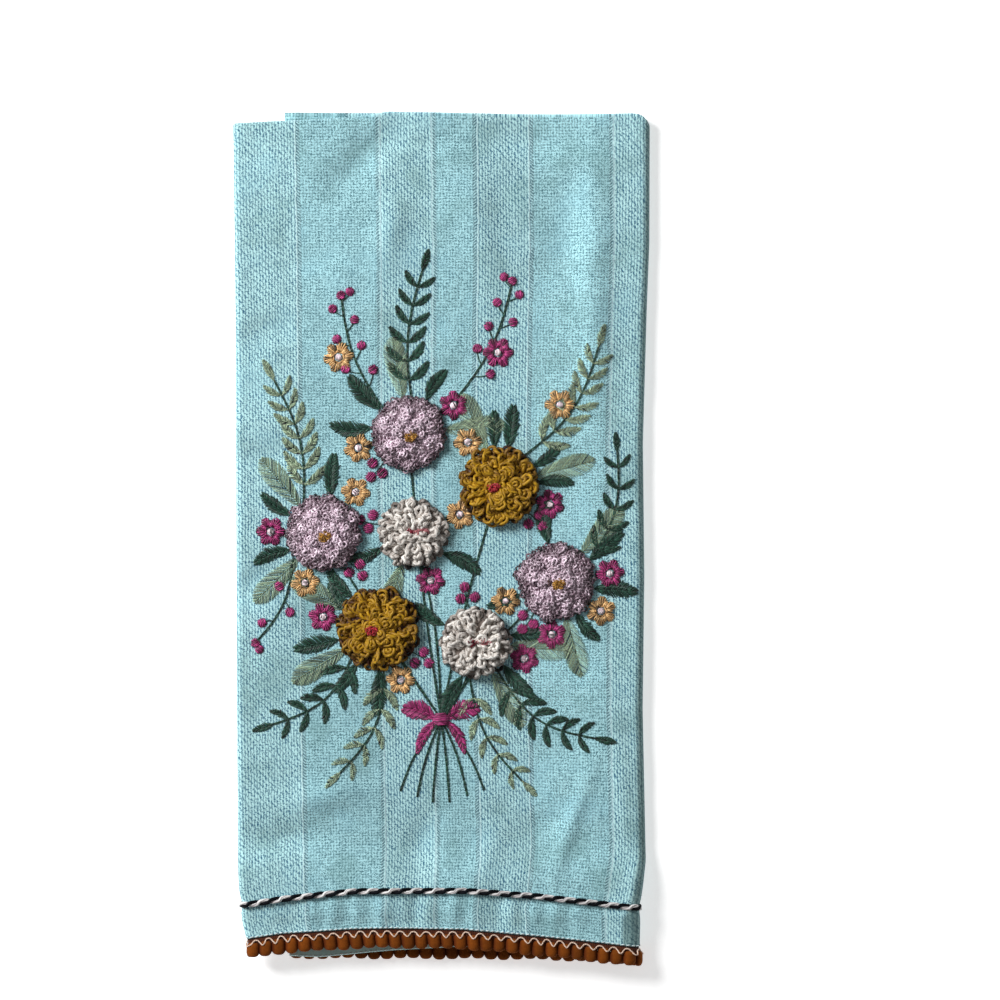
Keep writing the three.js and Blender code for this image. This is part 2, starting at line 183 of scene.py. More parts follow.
class FoldedPack:
    """Places on the folded towel, by the tables that the CAD solids use.

    A place across the towel is one number. It runs from 0 to 1 over the left third, to 2 round
    the left fold, to 3 over the centre, to 4 round the right fold and to 5 over the right third.
    """

    cloth = 1.0
    half_pitch = 0.7
    left_third_edge = 65.0
    places = 5
    hem_y, cord_y, fold_y = -168.0, -152.0, 175.0
    cord_dip = 0.8  # how far the cord draws each side fold in
    cord_fold_y = {Third.LEFT: -153.4, Third.RIGHT: -155.1}

    sides = table(
        "y left right",
        (-170, -81.3, 83.6), (-161.5, -83.4, 83.8), (-158.5, -83.8, 83.7), (-150.5, -84.4, 84.3),
        (-146, -84.9, 85.0), (-135.5, -85.4, 86.2), (-72, -85.9, 84.9), (-16, -86.1, 85.6),
        (40, -86.3, 85.0), (96, -86.6, 86.6), (124, -86.9, 87.7), (180, -87.6, 87.9),
    )
    right_third_edge = table("y x", (-178, -63.8), (180, -65.9))
    ends = {
        Third.LEFT: table(
            "x top front back",
            (-80, 174.8, -168.0, -167.2), (-66, 174.9, -166.2, -165.4), (-36, 175.2, -163.9, -163.1),
            (-6, 175.4, -163.6, -162.8), (30, 175.7, -165.0, -164.2), (65, 176.0, -166.5, -165.7),
        ),
        Third.CENTRE: table(
            "x top front back",
            (-84, 174.6, -168.6, -167.8), (-66, 175.5, -166.0, -165.2), (-36, 176.8, -164.1, -163.3),
            (-22, 179.4, -163.8, -163.0), (10, 178.7, -164.3, -163.5), (40, 178.1, -167.0, -166.2),
            (67, 178.4, -169.9, -169.1), (80, 178.8, -171.5, -174.5), (83, 178.5, -171.7, -175.4),
            (85, 177.6, -171.8, -176.0), (86.6, 176.0, -171.8, -176.0), (87.5, 174.2, -171.8, -176.0),
            (87.9, 172.4, -171.8, -176.0),
        ),
        Third.RIGHT: table(
            "x top front back",
            (-66, 179.4, -169.0, -175.8), (-51, 179.3, -169.0, -176.4), (-22, 179.1, -169.1, -173.6),
            (10, 178.9, -169.2, -171.9), (40, 178.7, -169.5, -172.6), (67, 178.6, -170.4, -175.0),
            (80, 178.4, -171.4, -176.0), (85, 177.2, -171.8, -176.0),
        ),
    }
    heights = {
        Half.FRONT: table(
            "y right left centre",
            (-161.5, 1.8, 6.8, 11.0), (-158.5, 2.6, 7.4, 11.6), (-146, 2.6, 7.4, 11.6),
            (-125, 0.5, 3.3, 7.5),
        ),
        Half.BACK: table(
            "y right left centre",
            (-161.5, 4.5, 8.2, 9.6), (-158.5, 4.0, 8.8, 10.2), (-146, 4.0, 8.8, 10.2),
            (-125, 1.9, 4.7, 6.1),
        ),
    }
    sinks = table("y front back", (-161.5, 0, 1.5), (-146, 0.8, 0.8), (-125, 1.0, 1.0))
    cord_line = {
        Third.LEFT: table("x y", (-80, -153.2), (65, -153.0)),
        Third.CENTRE: table(
            "x y",
            (-84, -154.0), (-66, -151.2), (-36, -148.0), (10, -147.8), (40, -150.1), (84, -155.2),
        ),
        Third.RIGHT: table("x y", (-66, -153.0), (84, -155.2)),
    }

    ridges = swellings(
        (61, 94, 90, 60, 13, 1.1), (-28, 133, 78, 28, 13, 0.9), (8, 138, 100, 30, 13, 1.0),
        (-44, 166, 35, 22, 12, 0.7), (-68, 42, 5, 22, 16, 0.7), (-2, -56, 64, 28, 14, 0.8),
        (-52, -104, 12, 24, 14, 0.8), (53, -112, 76, 26, 12, 1.0),
    )
    # Shares of their height that the left, centre and right thirds show.
    ridge_share = {Half.FRONT: (0.07, 1.0, 0.0), Half.BACK: (0.2, 0.5, 0.0)}
    # Finer creases than the solids have, in the two layers on top, and gathers along the hem.
    creases = swellings(
        (-31, 161, 40, 17, 7, -2.0), (-21, 128, 78, 15, 6, 2.1), (15, 134, 98, 20, 8, 2.1),
        (52, 127, 88, 20, 8, -2.0), (64, 105, 90, 45, 6, 1.4), (88, 0, 90, 400, 5, -0.6),
        (25, 167, 0, 60, 6, -1.1), (-56, 117, 10, 9, 4, -0.9), (-70, 88, 10, 13, 6, -1.5),
        (-72, 34, 5, 15, 6, -2.0), (-76, -17, 30, 12, 6, -1.5), (-26, -53, 50, 13, 5.5, 1.6),
        (31, -48, 75, 16, 7, -1.3), (-50, -109, 10, 17, 6, 2.3), (-67, -127, 8, 15, 6, -2.2),
        (-9, -131, 82, 15, 6, -2.0), (42, -121, 12, 11, 6, -1.9), (55, -119, 70, 24, 3.4, 1.6),
        (20, -133, 65, 13, 5, 1.2), (76, -100, 95, 26, 4.5, 1.1),
        *(
            (x, -157, 90 + lean, 8, 2.8, rise)
            for x, lean, rise in (
                (-54, 2, 0.8), (-45, -4, 1.1), (-35, 3, 1.2), (-24, -5, 1.3), (-11, 4, -1.3), (-5.5, 0, 1.2),
                (5.5, -3, 1.1), (14.5, 5, 1.2), (24, 0, -1.0), (30, 4, 1.2), (39, -3, 1.0), (48, 2, 0.9),
                (58, -2, 0.7),
            )
        ),
    )
    crease_share = {Half.FRONT: (0.4, 1.0, 0.0), Half.BACK: (0.6, 0.8, 0.2)}
    waves = 12
    wave_rise = 0.07

    def relief(self, x: Array, y: Array) -> Array:
        """Height of the broad ridges over a place in plan."""
        return sum(ridge.height(x, y) for ridge in self.ridges)

    def fine(self, x: Array, y: Array) -> Array:
        """Height of the finer creases and of the cloth's slight unevenness.

        Args:
            x, y: places in plan.

        Returns:
            The height at each place.
        """
        rise = sum(crease.height(x, y) for crease in self.creases)
        for number in range(self.waves):
            turn, length = number * GOLDEN_TURN, 15 + 2.6 * number
            along = x * math.cos(turn) + y * math.sin(turn)
            rise = rise + self.wave_rise * np.sin(2 * math.pi * along / length + 1.7 * number**2)
        return rise

    def level(self, half: Half, third: Third, x: Array, y: Array) -> Array:
        """Level of the middle of one half's layer in one third, before its ridges.

        Args:
            half, third: the half and the third.
            x, y: places in plan.

        Returns:
            Its height over the table at each place.
        """
        height = self.heights[half].read(third.value, y, soft=True)
        if third is not Third.CENTRE:
            return height
        past = smooth((x - self.left_third_edge - 1) / (80 - self.left_third_edge - 1))
        return height - self.sinks.read(half.value, y, soft=True) * past

    def bend(self, half: Half, fold: Third, y: Array) -> tuple[Array, Array, Array]:
        """The bend of one half at the left or right fold.

        Args:
            half: the half of the towel.
            fold: the third beyond the fold.
            y: places along the fold.

        Returns:
            X, Z and radius of the bend at each place.
        """
        edge = self.sides.read(fold.value, y)
        pressed = self.cord_dip * np.exp(-(((y - self.cord_fold_y[fold]) / 2.4) ** 2))
        edge = edge + (pressed if fold is Third.LEFT else -pressed)

        def radius(side: Half) -> Array:
            """Half the height between the two layers that the bend joins."""
            return (self.level(side, Third.CENTRE, edge, y) - self.level(side, fold, edge, y)) / 2

        inset = radius(Half.FRONT) + self.cloth / 2
        x = edge + inset if fold is Third.LEFT else edge - inset
        return x, self.level(half, fold, edge, y) + radius(half), radius(half)

    def point(self, half: Half, place: Array, y: Array) -> Array:
        """Points in the middle of the cloth.

        Args:
            half: the half of the towel.
            place: places across the towel, from 0 to 5.
            y: their Y.

        Returns:
            An array of points, with the shape of place and y and one more axis.
        """
        place, y = np.broadcast_arrays(np.asarray(place, float), np.asarray(y, float))
        stretch = np.clip(np.floor(place), 0, 4)
        share = place - stretch
        left_x, left_z, left_radius = self.bend(half, Third.LEFT, y)
        right_x, right_z, right_radius = self.bend(half, Third.RIGHT, y)
        free_edge = self.right_third_edge.read("x", y)

        def mixed(a: Array | float, b: Array | float, t: Array) -> Array:
            """Between a and b."""
            return a + (b - a) * t

        turn = np.where(stretch == 1, share, 1 - share) * math.pi
        cases = [stretch == number for number in range(4)]
        x = np.select(
            cases,
            [
                mixed(self.left_third_edge, left_x, share),
                left_x - left_radius * np.sin(turn),
                mixed(left_x, right_x, share),
                right_x + right_radius * np.sin(turn),
            ],
            mixed(right_x, free_edge, share),
        )
        z = np.select(
            cases,
            [
                self.level(half, Third.LEFT, x, y),
                left_z - left_radius * np.cos(turn),
                self.level(half, Third.CENTRE, x, y),
                right_z - right_radius * np.cos(turn),
            ],
            self.level(half, Third.RIGHT, x, y),
        )
        for shares, rise in (
            (self.ridge_share[half], self.relief(x, y)),
            (self.crease_share[half], self.fine(x, y)),
        ):
            lower = np.where(place < 2.5, shares[0], shares[2])
            raised = (1 - np.cos(turn)) / 2
            raised = np.where((stretch == 0) | (stretch == 4), 0, np.where(stretch == 2, 1, raised))
            z = z + rise * mixed(lower, shares[1], raised)
        return np.stack([x, y, z], axis=-1)

    def outward(self, half: Half, place: Array, y: Array) -> Array:
        """Outward direction of the cloth's face, across the table.

        Args:
            half: the half of the towel.
            place, y: places on it.

        Returns:
            A vector of length one for each place.
        """
        step = 0.01
        start = self.point(half, np.maximum(place - step, 0), y)
        end = self.point(half, np.minimum(place + step, self.places), y)
        way = end - start
        return unit(np.stack([-way[..., 2], np.zeros_like(way[..., 0]), way[..., 0]], axis=-1))

    def by_third(self, tables: Mapping[Third, Table], name: str, place: Array, y: float) -> Array:
        """Reads a column of the table of each place's third, at the place's X.

        Args:
            tables: a table for each third.
            name: the column.
            place: places across the towel.
            y: where their X is taken.

        Returns:
            The value at each place.
        """
        x = self.point(Half.FRONT, place, y)[..., 0]
        left, centre, right = (tables[third].read(name, x) for third in Third)
        return np.where(place <= 1, left, np.where(place < 4, centre, right))

    def end_at(self, end: str, place: Array) -> Array:
        """Y of the fold across (top) or of a hem (front or back) at places."""
        y = self.fold_y if end == "top" else self.hem_y
        return self.by_third(self.ends, end, np.asarray(place, float), y)

    def cord_at(self, place: Array) -> Array:
        """Y of the cord's middle at places."""
        return self.by_third(self.cord_line, "y", np.asarray(place, float), self.cord_y)

    def top(self, x: Array, y: Array) -> Array:
        """Height of the upper face of the front at places in plan."""
        level = self.level(Half.FRONT, Third.CENTRE, x, y) + self.cloth / 2
        return level + self.relief(x, y) + self.fine(x, y)

    def hem_places(self, samples: int = 1001) -> tuple[Array, Array]:
        """Even places along the front's hem.

        Args:
            samples: how many.

        Returns:
            The places, and how far along the hem each lies.
        """
        place = np.linspace(0, self.places, samples)
        points = self.point(Half.FRONT, place, np.full(samples, self.hem_y))
        steps = np.linalg.norm(np.diff(points, axis=0), axis=1)
        return place, np.concatenate([[0], np.cumsum(steps)])


PACK = FoldedPack()


# ---- meshes from arrays


@dataclass
class Shape:
    """Points and faces of a closed mesh, in millimetres.

    Args:
        points: an array of points.
        faces: arrays of faces, each array with one number of corners.
        maps: for each of these arrays, the flat coordinates of each corner.
        tone: a shade for each point, which its finish may read.
    """

    points: Array
    faces: list[Array]
    maps: list[Array]
    tone: Array = field(default_factory=lambda: np.zeros(0))

    def volume(self) -> float:
        """Volume inside the faces.

        Returns:
            The volume, negative where the faces point inwards.
        """
        total = 0.0
        for faces in self.faces:
            corners = self.points[faces]
            for number in range(1, faces.shape[1] - 1):
                across = np.cross(corners[:, number], corners[:, number + 1])
                total += float(np.einsum("ij,ij->", corners[:, 0], across))
        return total

    def joined(self, *others: "Shape") -> "Shape":
        """This shape and others as one.

        Args:
            others: the other shapes.

        Returns:
            The whole shape.
        """
        shapes = [self, *others]
        starts = np.cumsum([0] + [len(shape.points) for shape in shapes])
        return Shape(
            np.concatenate([shape.points for shape in shapes]),
            [faces + start for shape, start in zip(shapes, starts) for faces in shape.faces],
            [flat for shape in shapes for flat in shape.maps],
            np.concatenate([shape.tone for shape in shapes]),
        )

    def piece(self, name: str, finish: "Finish", slot: str, node: str = "") -> Piece:
        """Makes the shape a piece that rides on the towel.

        Args:
            name: the piece's name.
            finish: its finish.
            slot: the record's name for what it is made of; not used.
            node: the CAD node that it stands for, if any.

        Returns:
            The new object, in metres, with smooth faces that point outwards.
        """
        flip = self.volume() < 0
        faces = [rows[:, ::-1] if flip else rows for rows in self.faces]
        maps = [rows[:, ::-1] if flip else rows for rows in self.maps]
        mesh = bpy.data.meshes.new(name)
        mesh.from_pydata((self.points * MM).tolist(), [], [f for rows in faces for f in rows.tolist()])
        flat = mesh.uv_layers.new(name="flat")
        flat.data.foreach_set("uv", np.concatenate([rows.reshape(-1) for rows in maps]).astype(np.float32))
        if len(self.tone):
            tone = mesh.attributes.new("tone", "FLOAT", "POINT")
            tone.data.foreach_set("value", self.tone.astype(np.float32))
        mesh.shade_smooth()
        mesh.materials.append(finish.material())
        made = bpy.data.objects.new(name, mesh)
        bpy.context.scene.collection.objects.link(made)
        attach(made, "root")
        if node:
            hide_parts(node)
        return made


def grid_faces(rows: int, columns: int, ring: bool, loop: bool) -> tuple[Array, Array]:
    """Quads over a grid of points.

    Args:
        rows: rows of points.
        columns: points in a row.
        ring: whether each row closes on itself.
        loop: whether the last row joins the first.

    Returns:
        Corner indices, and the row and column of each corner as if nothing closed.
    """
    row, column = np.meshgrid(
        np.arange(rows if loop else rows - 1),
        np.arange(columns if ring else columns - 1),
        indexing="ij",
    )
    row, column = row.reshape(-1, 1), column.reshape(-1, 1)
    corner_row = row + np.array([[0, 0, 1, 1]])
    corner_column = column + np.array([[0, 1, 1, 0]])
    faces = (corner_row % rows) * columns + corner_column % columns
    return faces, np.stack([corner_column, corner_row], axis=-1)


def lofts(points: Array, steps: Array, tone: Array | float = 0.0, closed: bool = False) -> Shape:
    """Closed strips or tubes through rings of points.

    Args:
        points: for each strip and each of its stations, a ring of points.
        steps: mean distance from one station to the next, for each strip.
        tone: a shade, or a row for each strip with its shade or that of each of its stations.
        closed: whether each strip closes on itself, as a ring does.

    Returns:
        One closed shape. Its flat coordinates are turns round a strip and metres along it.
    """
    count, stations, sides = points.shape[:3]
    quads, places = grid_faces(stations, sides, ring=True, loop=closed)
    starts = (np.arange(count) * stations * sides)[:, None, None]
    scale = np.stack([np.full(count, 1 / sides), steps * MM], axis=-1)
    faces = [(quads + starts).reshape(-1, 4)]
    maps = [(places * scale[:, None, None]).reshape(-1, 4, 2)]
    if not closed:
        for cap in (np.arange(sides)[::-1], (stations - 1) * sides + np.arange(sides)):
            faces.append((cap + starts[:, :, 0]).reshape(-1, sides))
            maps.append(np.zeros((count, sides, 2)))
    shade = np.broadcast_to(tone, (count, stations))
    return Shape(points.reshape(-1, 3), faces, maps, np.repeat(shade.reshape(-1), sides))


def tubes(
    paths: Array,
    normals: Array,
    radius: Array | float,
    sides: int,
    closed: bool = False,
    tone: Array | float = 0.0,
    flatten: Array | float = 1.0,
) -> Shape:
    """Many round tubes along paths with the same number of points.

    Args:
        paths: points of each path.
        normals: a direction across each path at each point.
        radius: radius at each point.
        sides: faces round a tube.
        closed: whether each path closes on itself, as a ring does.
        tone: their shade, as lofts reads it.
        flatten: share of the radius that is kept along the normals.

    Returns:
        One closed shape. Its flat coordinates are turns round the tube and metres along it.
    """
    count, stations = paths.shape[:2]
    if closed:
        way = np.roll(paths, -1, axis=1) - np.roll(paths, 1, axis=1)
    else:
        way = np.gradient(paths, axis=1)
    side = unit(np.cross(unit(way), normals))
    out = unit(np.cross(side, unit(way)))
    turn = 2 * math.pi * np.arange(sides) / sides
    radius = np.broadcast_to(radius, (count, stations))[..., None, None]
    flatten = np.broadcast_to(flatten, (count, stations))[..., None, None]
    ring = np.cos(turn)[:, None] * out[:, :, None] * flatten + np.sin(turn)[:, None] * side[:, :, None]
    steps = np.linalg.norm(np.diff(paths, axis=1), axis=2).mean(axis=1)
    return lofts(paths[:, :, None] + radius * ring, steps, tone, closed)


def taken_shape(made: Piece) -> Shape:
    """Takes the shape of a modelled object, so that it can be copied many times.

    Args:
        made: the object, which is then removed.

    Returns:
        Its shape.
    """
    mesh = made.data
    points = np.array([tuple(vertex.co) for vertex in mesh.vertices])
    # A cut leaves points and faces in no fixed order, so they are put in order of place.
    order = np.lexsort(points.round(4).T)
    points, rank = points[order], np.argsort(order)
    by_corners: dict[int, list[list[int]]] = {}
    for face in mesh.polygons:
        corners = rank[list(face.vertices)]
        corners = np.roll(corners, -corners.argmin()).tolist()
        by_corners.setdefault(len(corners), []).append(corners)
    faces = [np.array(sorted(rows)) for _, rows in sorted(by_corners.items())]
    maps = [points[rows][..., :2] * MM for rows in faces]
    bpy.data.objects.remove(made)
    return Shape(points, faces, maps, np.zeros(len(points)))


# ---- shader graphs


@dataclass(frozen=True)
class Wire:
    """An output of a node, which may be used in sums like a number."""

    graph: "Graph"
    socket: bpy.types.NodeSocket

    def __add__(self, other: "Value") -> "Wire":
        """Sum."""
        return self.graph.math("ADD", self, other)

    def __sub__(self, other: "Value") -> "Wire":
        """Difference."""
        return self.graph.math("SUBTRACT", self, other)

    def __rsub__(self, other: "Value") -> "Wire":
        """Difference from a number."""
        return self.graph.math("SUBTRACT", other, self)

    def __mul__(self, other: "Value") -> "Wire":
        """Product."""
        return self.graph.math("MULTIPLY", self, other)

    def __truediv__(self, other: "Value") -> "Wire":
        """Quotient."""
        return self.graph.math("DIVIDE", self, other)

    def apply(self, operation: str, *others: "Value") -> "Wire":
        """Result of a Math node whose first value this is."""
        return self.graph.math(operation, self, *others)

    def limited(self) -> "Wire":
        """The value kept between 0 and 1."""
        return Wire(self.graph, self.graph.add("Clamp", {0: self}).outputs[0])

    def wave(self) -> "Wire":
        """Cosine wave that is 1 at whole numbers and 0 halfway between them."""
        return (self * (2 * math.pi)).apply("COSINE") * 0.5 + 0.5


Value = float | Sequence[float] | bpy.types.NodeSocket | Wire
Inputs = Mapping[str | int, Value]
Wires = Mapping[str, Wire]


class Graph:
    """Adds nodes to a tree. An input may be given as a number, a colour, a socket or a wire."""

    def __init__(self, tree: bpy.types.NodeTree) -> None:
        """Keeps the tree that the nodes go into."""
        self.tree = tree

    def add(self, kind: str, values: Inputs | None = None, **settings: object) -> Node:
        """Adds one node.

        Args:
            kind: the node's type, without the words that all shader nodes start with.
            values: its inputs by name or number.
            settings: its own settings.

        Returns:
            The node.
        """
        node = self.tree.nodes.new(kind if kind.startswith("Node") else f"ShaderNode{kind}")
        for name, value in settings.items():
            setattr(node, name, value)
        for key, value in (values or {}).items():
            self.feed(node.inputs[key], value)
        return node

    def feed(self, socket: bpy.types.NodeSocket, value: Value) -> None:
        """Links a value to an input, or sets it.

        Args:
            socket: the input.
            value: what feeds it.
        """
        value = value.socket if isinstance(value, Wire) else value
        if isinstance(value, bpy.types.NodeSocket):
            self.tree.links.new(value, socket)
        else:
            socket.default_value = value

    def math(self, operation: str, *values: Value) -> Wire:
        """Result of a Math node."""
        return Wire(self, self.add("Math", dict(enumerate(values)), operation=operation).outputs[0])

    def step(self, value: Value, low: Value, high: Value) -> Wire:
        """Soft step of a value from 0 at low to 1 at high."""
        values = {0: value, 1: low, 2: high}
        return Wire(self, self.add("MapRange", values, interpolation_type="SMOOTHSTEP").outputs[0])

    def between(self, value: Value, low: Value, high: Value) -> Wire:
        """Value that runs from low to high as another runs from 0 to 1."""
        return Wire(self, self.add("MapRange", {0: value, 3: low, 4: high}).outputs[0])

    def mix(self, share: Value, first: Value, second: Value) -> Wire:
        """Mixed colour."""
        values = {0: share, 6: first, 7: second}
        return Wire(self, self.add("Mix", values, data_type="RGBA").outputs[2])

    def noise(self, vector: Value, scale: Value, detail: float = 2.0) -> Wire:
        """Value of a noise texture."""
        values = {"Vector": vector, "Scale": scale, "Detail": detail}
        return Wire(self, self.add("TexNoise", values).outputs[0])

    def chance(self, x: Value, y: Value = 0.0) -> Wire:
        """Even chance from 0 to 1 for each pair of whole numbers."""
        values = {"Vector": self.vector(x, y)}
        return Wire(self, self.add("TexWhiteNoise", values, noise_dimensions="2D").outputs[0])

    def parts(self, vector: Value) -> tuple[Wire, Wire]:
        """X and Y of a vector."""
        split = self.add("SeparateXYZ", {0: vector})
        return Wire(self, split.outputs[0]), Wire(self, split.outputs[1])

    def vector(self, x: Value, y: Value, z: Value = 0.0) -> Wire:
        """Vector of three values."""
        return Wire(self, self.add("CombineXYZ", {0: x, 1: y, 2: z}).outputs[0])


class Group:
    """A shader node group that is made once and then shared.

    Its inputs and outputs are named, each with its kind of socket. An input has a default too.
    """

    name: str
    inputs: Mapping[str, tuple[str, object]]
    outputs: Mapping[str, str]

    def wires(self, graph: Graph, given: Wires) -> Wires:
        """Adds the group's nodes inside it, and gives a wire for each output."""
        raise NotImplementedError

    def tree(self) -> bpy.types.NodeTree:
        """Makes the group, where it is not there yet.

        Returns:
            The group.
        """
        if self.name in bpy.data.node_groups:
            return bpy.data.node_groups[self.name]
        tree = bpy.data.node_groups.new(self.name, "ShaderNodeTree")
        for label, (kind, default) in self.inputs.items():
            socket = tree.interface.new_socket(label, in_out="INPUT", socket_type=f"NodeSocket{kind}")
            if default is not None:
                socket.default_value = default
        for label, kind in self.outputs.items():
            tree.interface.new_socket(label, in_out="OUTPUT", socket_type=f"NodeSocket{kind}")
        graph = Graph(tree)
        sockets = graph.add("NodeGroupInput").outputs
        given = {socket.name: Wire(graph, socket) for socket in sockets if socket.name}
        graph.add("NodeGroupOutput", self.wires(graph, given))
        return tree

    def use(self, graph: Graph, **values: Value) -> Wires:
        """Places the group in a material.

        Args:
            graph: the material's nodes.
            values: the group's inputs by name.

        Returns:
            A wire for each of its outputs.
        """
        node = graph.add("Group", node_tree=self.tree())
        for name, value in values.items():
            graph.feed(node.inputs[name], value)
        return {socket.name: Wire(graph, socket) for socket in node.outputs}


class YarnTwist(Group):
    """Plies of a yarn, with fine fibres along them."""

    name = "yarn twist"
    inputs = {
        "Flat": ("Vector", None),
        "Plies": ("Float", 2.0),
        "Lay": ("Float", 0.003),
        "Fuzz": ("Float", 0.5),
        "Close": ("Float", 0.6),
    }
    outputs = {"Height": "Float", "Groove": "Float", "Fibres": "Float"}

    def wires(self, graph: Graph, given: Wires) -> Wires:
        """Reads turns round the yarn and metres along it.

        Args:
            graph: the group's nodes.
            given: a wire for each input.

        Returns:
            A wire for each output.
        """
        around, along = graph.parts(given["Flat"])
        phase = around * given["Plies"] + along / given["Lay"]
        groove = (phase * math.pi).apply("SINE").apply("ABSOLUTE").apply("POWER", given["Close"])
        fibres = graph.noise(graph.vector(phase * 9.0, along * 900.0), 1.0)
        return {"Height": groove + (fibres - 0.5) * given["Fuzz"], "Groove": groove, "Fibres": fibres}


class DyeVariation(Group):
    """Uneven dye, which makes a colour lighter and darker in soft patches."""

    name = "dye variation"
    inputs = {
        "Place": ("Vector", None),
        "Colour": ("Color", None),
        "Scale": ("Float", 40.0),
        "Amount": ("Float", 0.4),
        "Tone": ("Float", 0.0),
    }
    outputs = {"Colour": "Color"}

    def wires(self, graph: Graph, given: Wires) -> Wires:
        """Two sizes of patches, and a shade that is given for each thread, which also carries painted light
        and shade.

        Args:
            graph: the group's nodes.
            given: a wire for each input.

        Returns:
            A wire for each output.
        """
        broad = graph.noise(given["Place"], given["Scale"], 3.0)
        close = graph.noise(given["Place"], given["Scale"] * 6.0)
        change = (broad * 0.65 + close * 0.35 - 0.5) * given["Amount"]
        values = {0: given["Colour"], "Scale": change + given["Tone"] + 1.0}
        return {"Colour": Wire(graph, graph.add("VectorMath", values, operation="SCALE").outputs[0])}


class WovenStripes(Group):
    """The striped weave: twill with long floats, plain weave and picked borders between them."""

    name = "woven stripes"
    inputs = {"Flat": ("Vector", None)}
    middle, repeat = 6.0, 90.0
    narrow, inner, outer = 9.0, 32.0, 66.5
    column, float_length = 1.26, 2.52
    outputs = {"Lightness": "Float", "Plain": "Float", "Line": "Float", "Picks": "Float", "Height": "Float"}

    def inside(self, u: Wire) -> Wire:
        """Depth inside the nearest plain stripe. The stripes mirror about the middle one.

        Args:
            u: millimetres across the towel.

        Returns:
            Millimetres from the stripe's edge.
        """
        span = (u - self.middle).apply("PINGPONG", self.repeat)
        outer = (span - self.inner).apply("MINIMUM", self.outer - span)
        return (self.narrow - span).apply("MAXIMUM", outer)

    def twill(self, graph: Graph, u: Wire, v: Wire) -> Wire:
        """Lightness of the floats. They lean, and those of the next column lie half a float off.

        Args:
            graph: the group's nodes.
            u, v: millimetres across and along the towel.

        Returns:
            The lightness, from 0 to 1.
        """
        column = u / self.column
        number = column.apply("FLOOR")
        drift = graph.noise(graph.vector(u, v), 0.12, 1.0) * 1.6
        slant = v / self.float_length + number * 0.5 + graph.chance(number) * 0.12 + drift
        cell = slant.apply("FLOOR")
        leaning = column + (slant - cell - 0.5) * 0.3
        lit = graph.step(leaning.wave() * -1.0, -0.9, -0.15)
        ends = graph.step(slant.wave() * -1.0, -1.0, -0.55) * 0.7 + 0.3
        return lit * ends * graph.between(graph.chance(number + 7.0, cell), 0.7, 1.0) * 0.95

    def plain(self, graph: Graph, u: Wire, v: Wire) -> Wire:
        """Lightness of threads of one thickness both ways."""
        warp, weft = (u / self.column).wave(), (v / self.column).wave()
        return graph.step(warp * -1.0, -0.95, -0.3) * 0.26 + graph.step(weft * -1.0, -0.95, -0.3) * 0.3

    def wires(self, graph: Graph, given: Wires) -> Wires:
        """Reads metres across and along the flat towel.

        Args:
            graph: the group's nodes.
            given: a wire for each input.

        Returns:
            A wire for each output.
        """
        across, along = graph.parts(given["Flat"])
        u, v = across * 1000.0, along * 1000.0
        plan = graph.vector(u, v)
        u = u + (graph.noise(plan, 0.16) - 0.5) * 1.0
        fibres = graph.chance((u / 0.42).apply("FLOOR"), (v / 0.42).apply("FLOOR"))
        u = u + (graph.noise(plan, 0.8, 1.0) - 0.5) * 0.5
        v = v + (graph.noise(graph.vector(v, u), 0.3) - 0.5) * 1.0
        inside = self.inside(u)
        is_plain = graph.step(inside, -0.2, 0.2)
        shares = {0: is_plain, 2: self.twill(graph, u, v), 3: self.plain(graph, u, v)}
        threads = Wire(graph, graph.add("Mix", shares, data_type="FLOAT").outputs[0])
        lightness = (threads + fibres * 0.9 - 0.12).limited()

        # A border is a light warp beside a column of dark picks, with light between them.
        line = graph.step(inside, -1.1, -0.8) * (1.0 - graph.step(inside, -0.5, -0.2))
        picks_here = graph.step(inside, -0.3, 0.0) * (1.0 - graph.step(inside, 1.1, 1.5))
        picks = (v / 1.3 + inside * 0.6).wave()
        seen = graph.step(graph.noise(plan, 0.25), 0.3, 0.5) * 0.6 + 0.4
        line = line + picks_here * graph.step(picks * -1.0, -0.4, -0.2) * seen * 0.6
        picks = picks_here * graph.step(picks, 0.3, 0.6) * seen
        height = lightness + line * 0.3 - picks * 0.5
        return {"Lightness": lightness, "Plain": is_plain, "Line": line, "Picks": picks, "Height": height}


YARN_TWIST, DYE_VARIATION, WOVEN_STRIPES = YarnTwist(), DyeVariation(), WovenStripes()


# ---- finishes


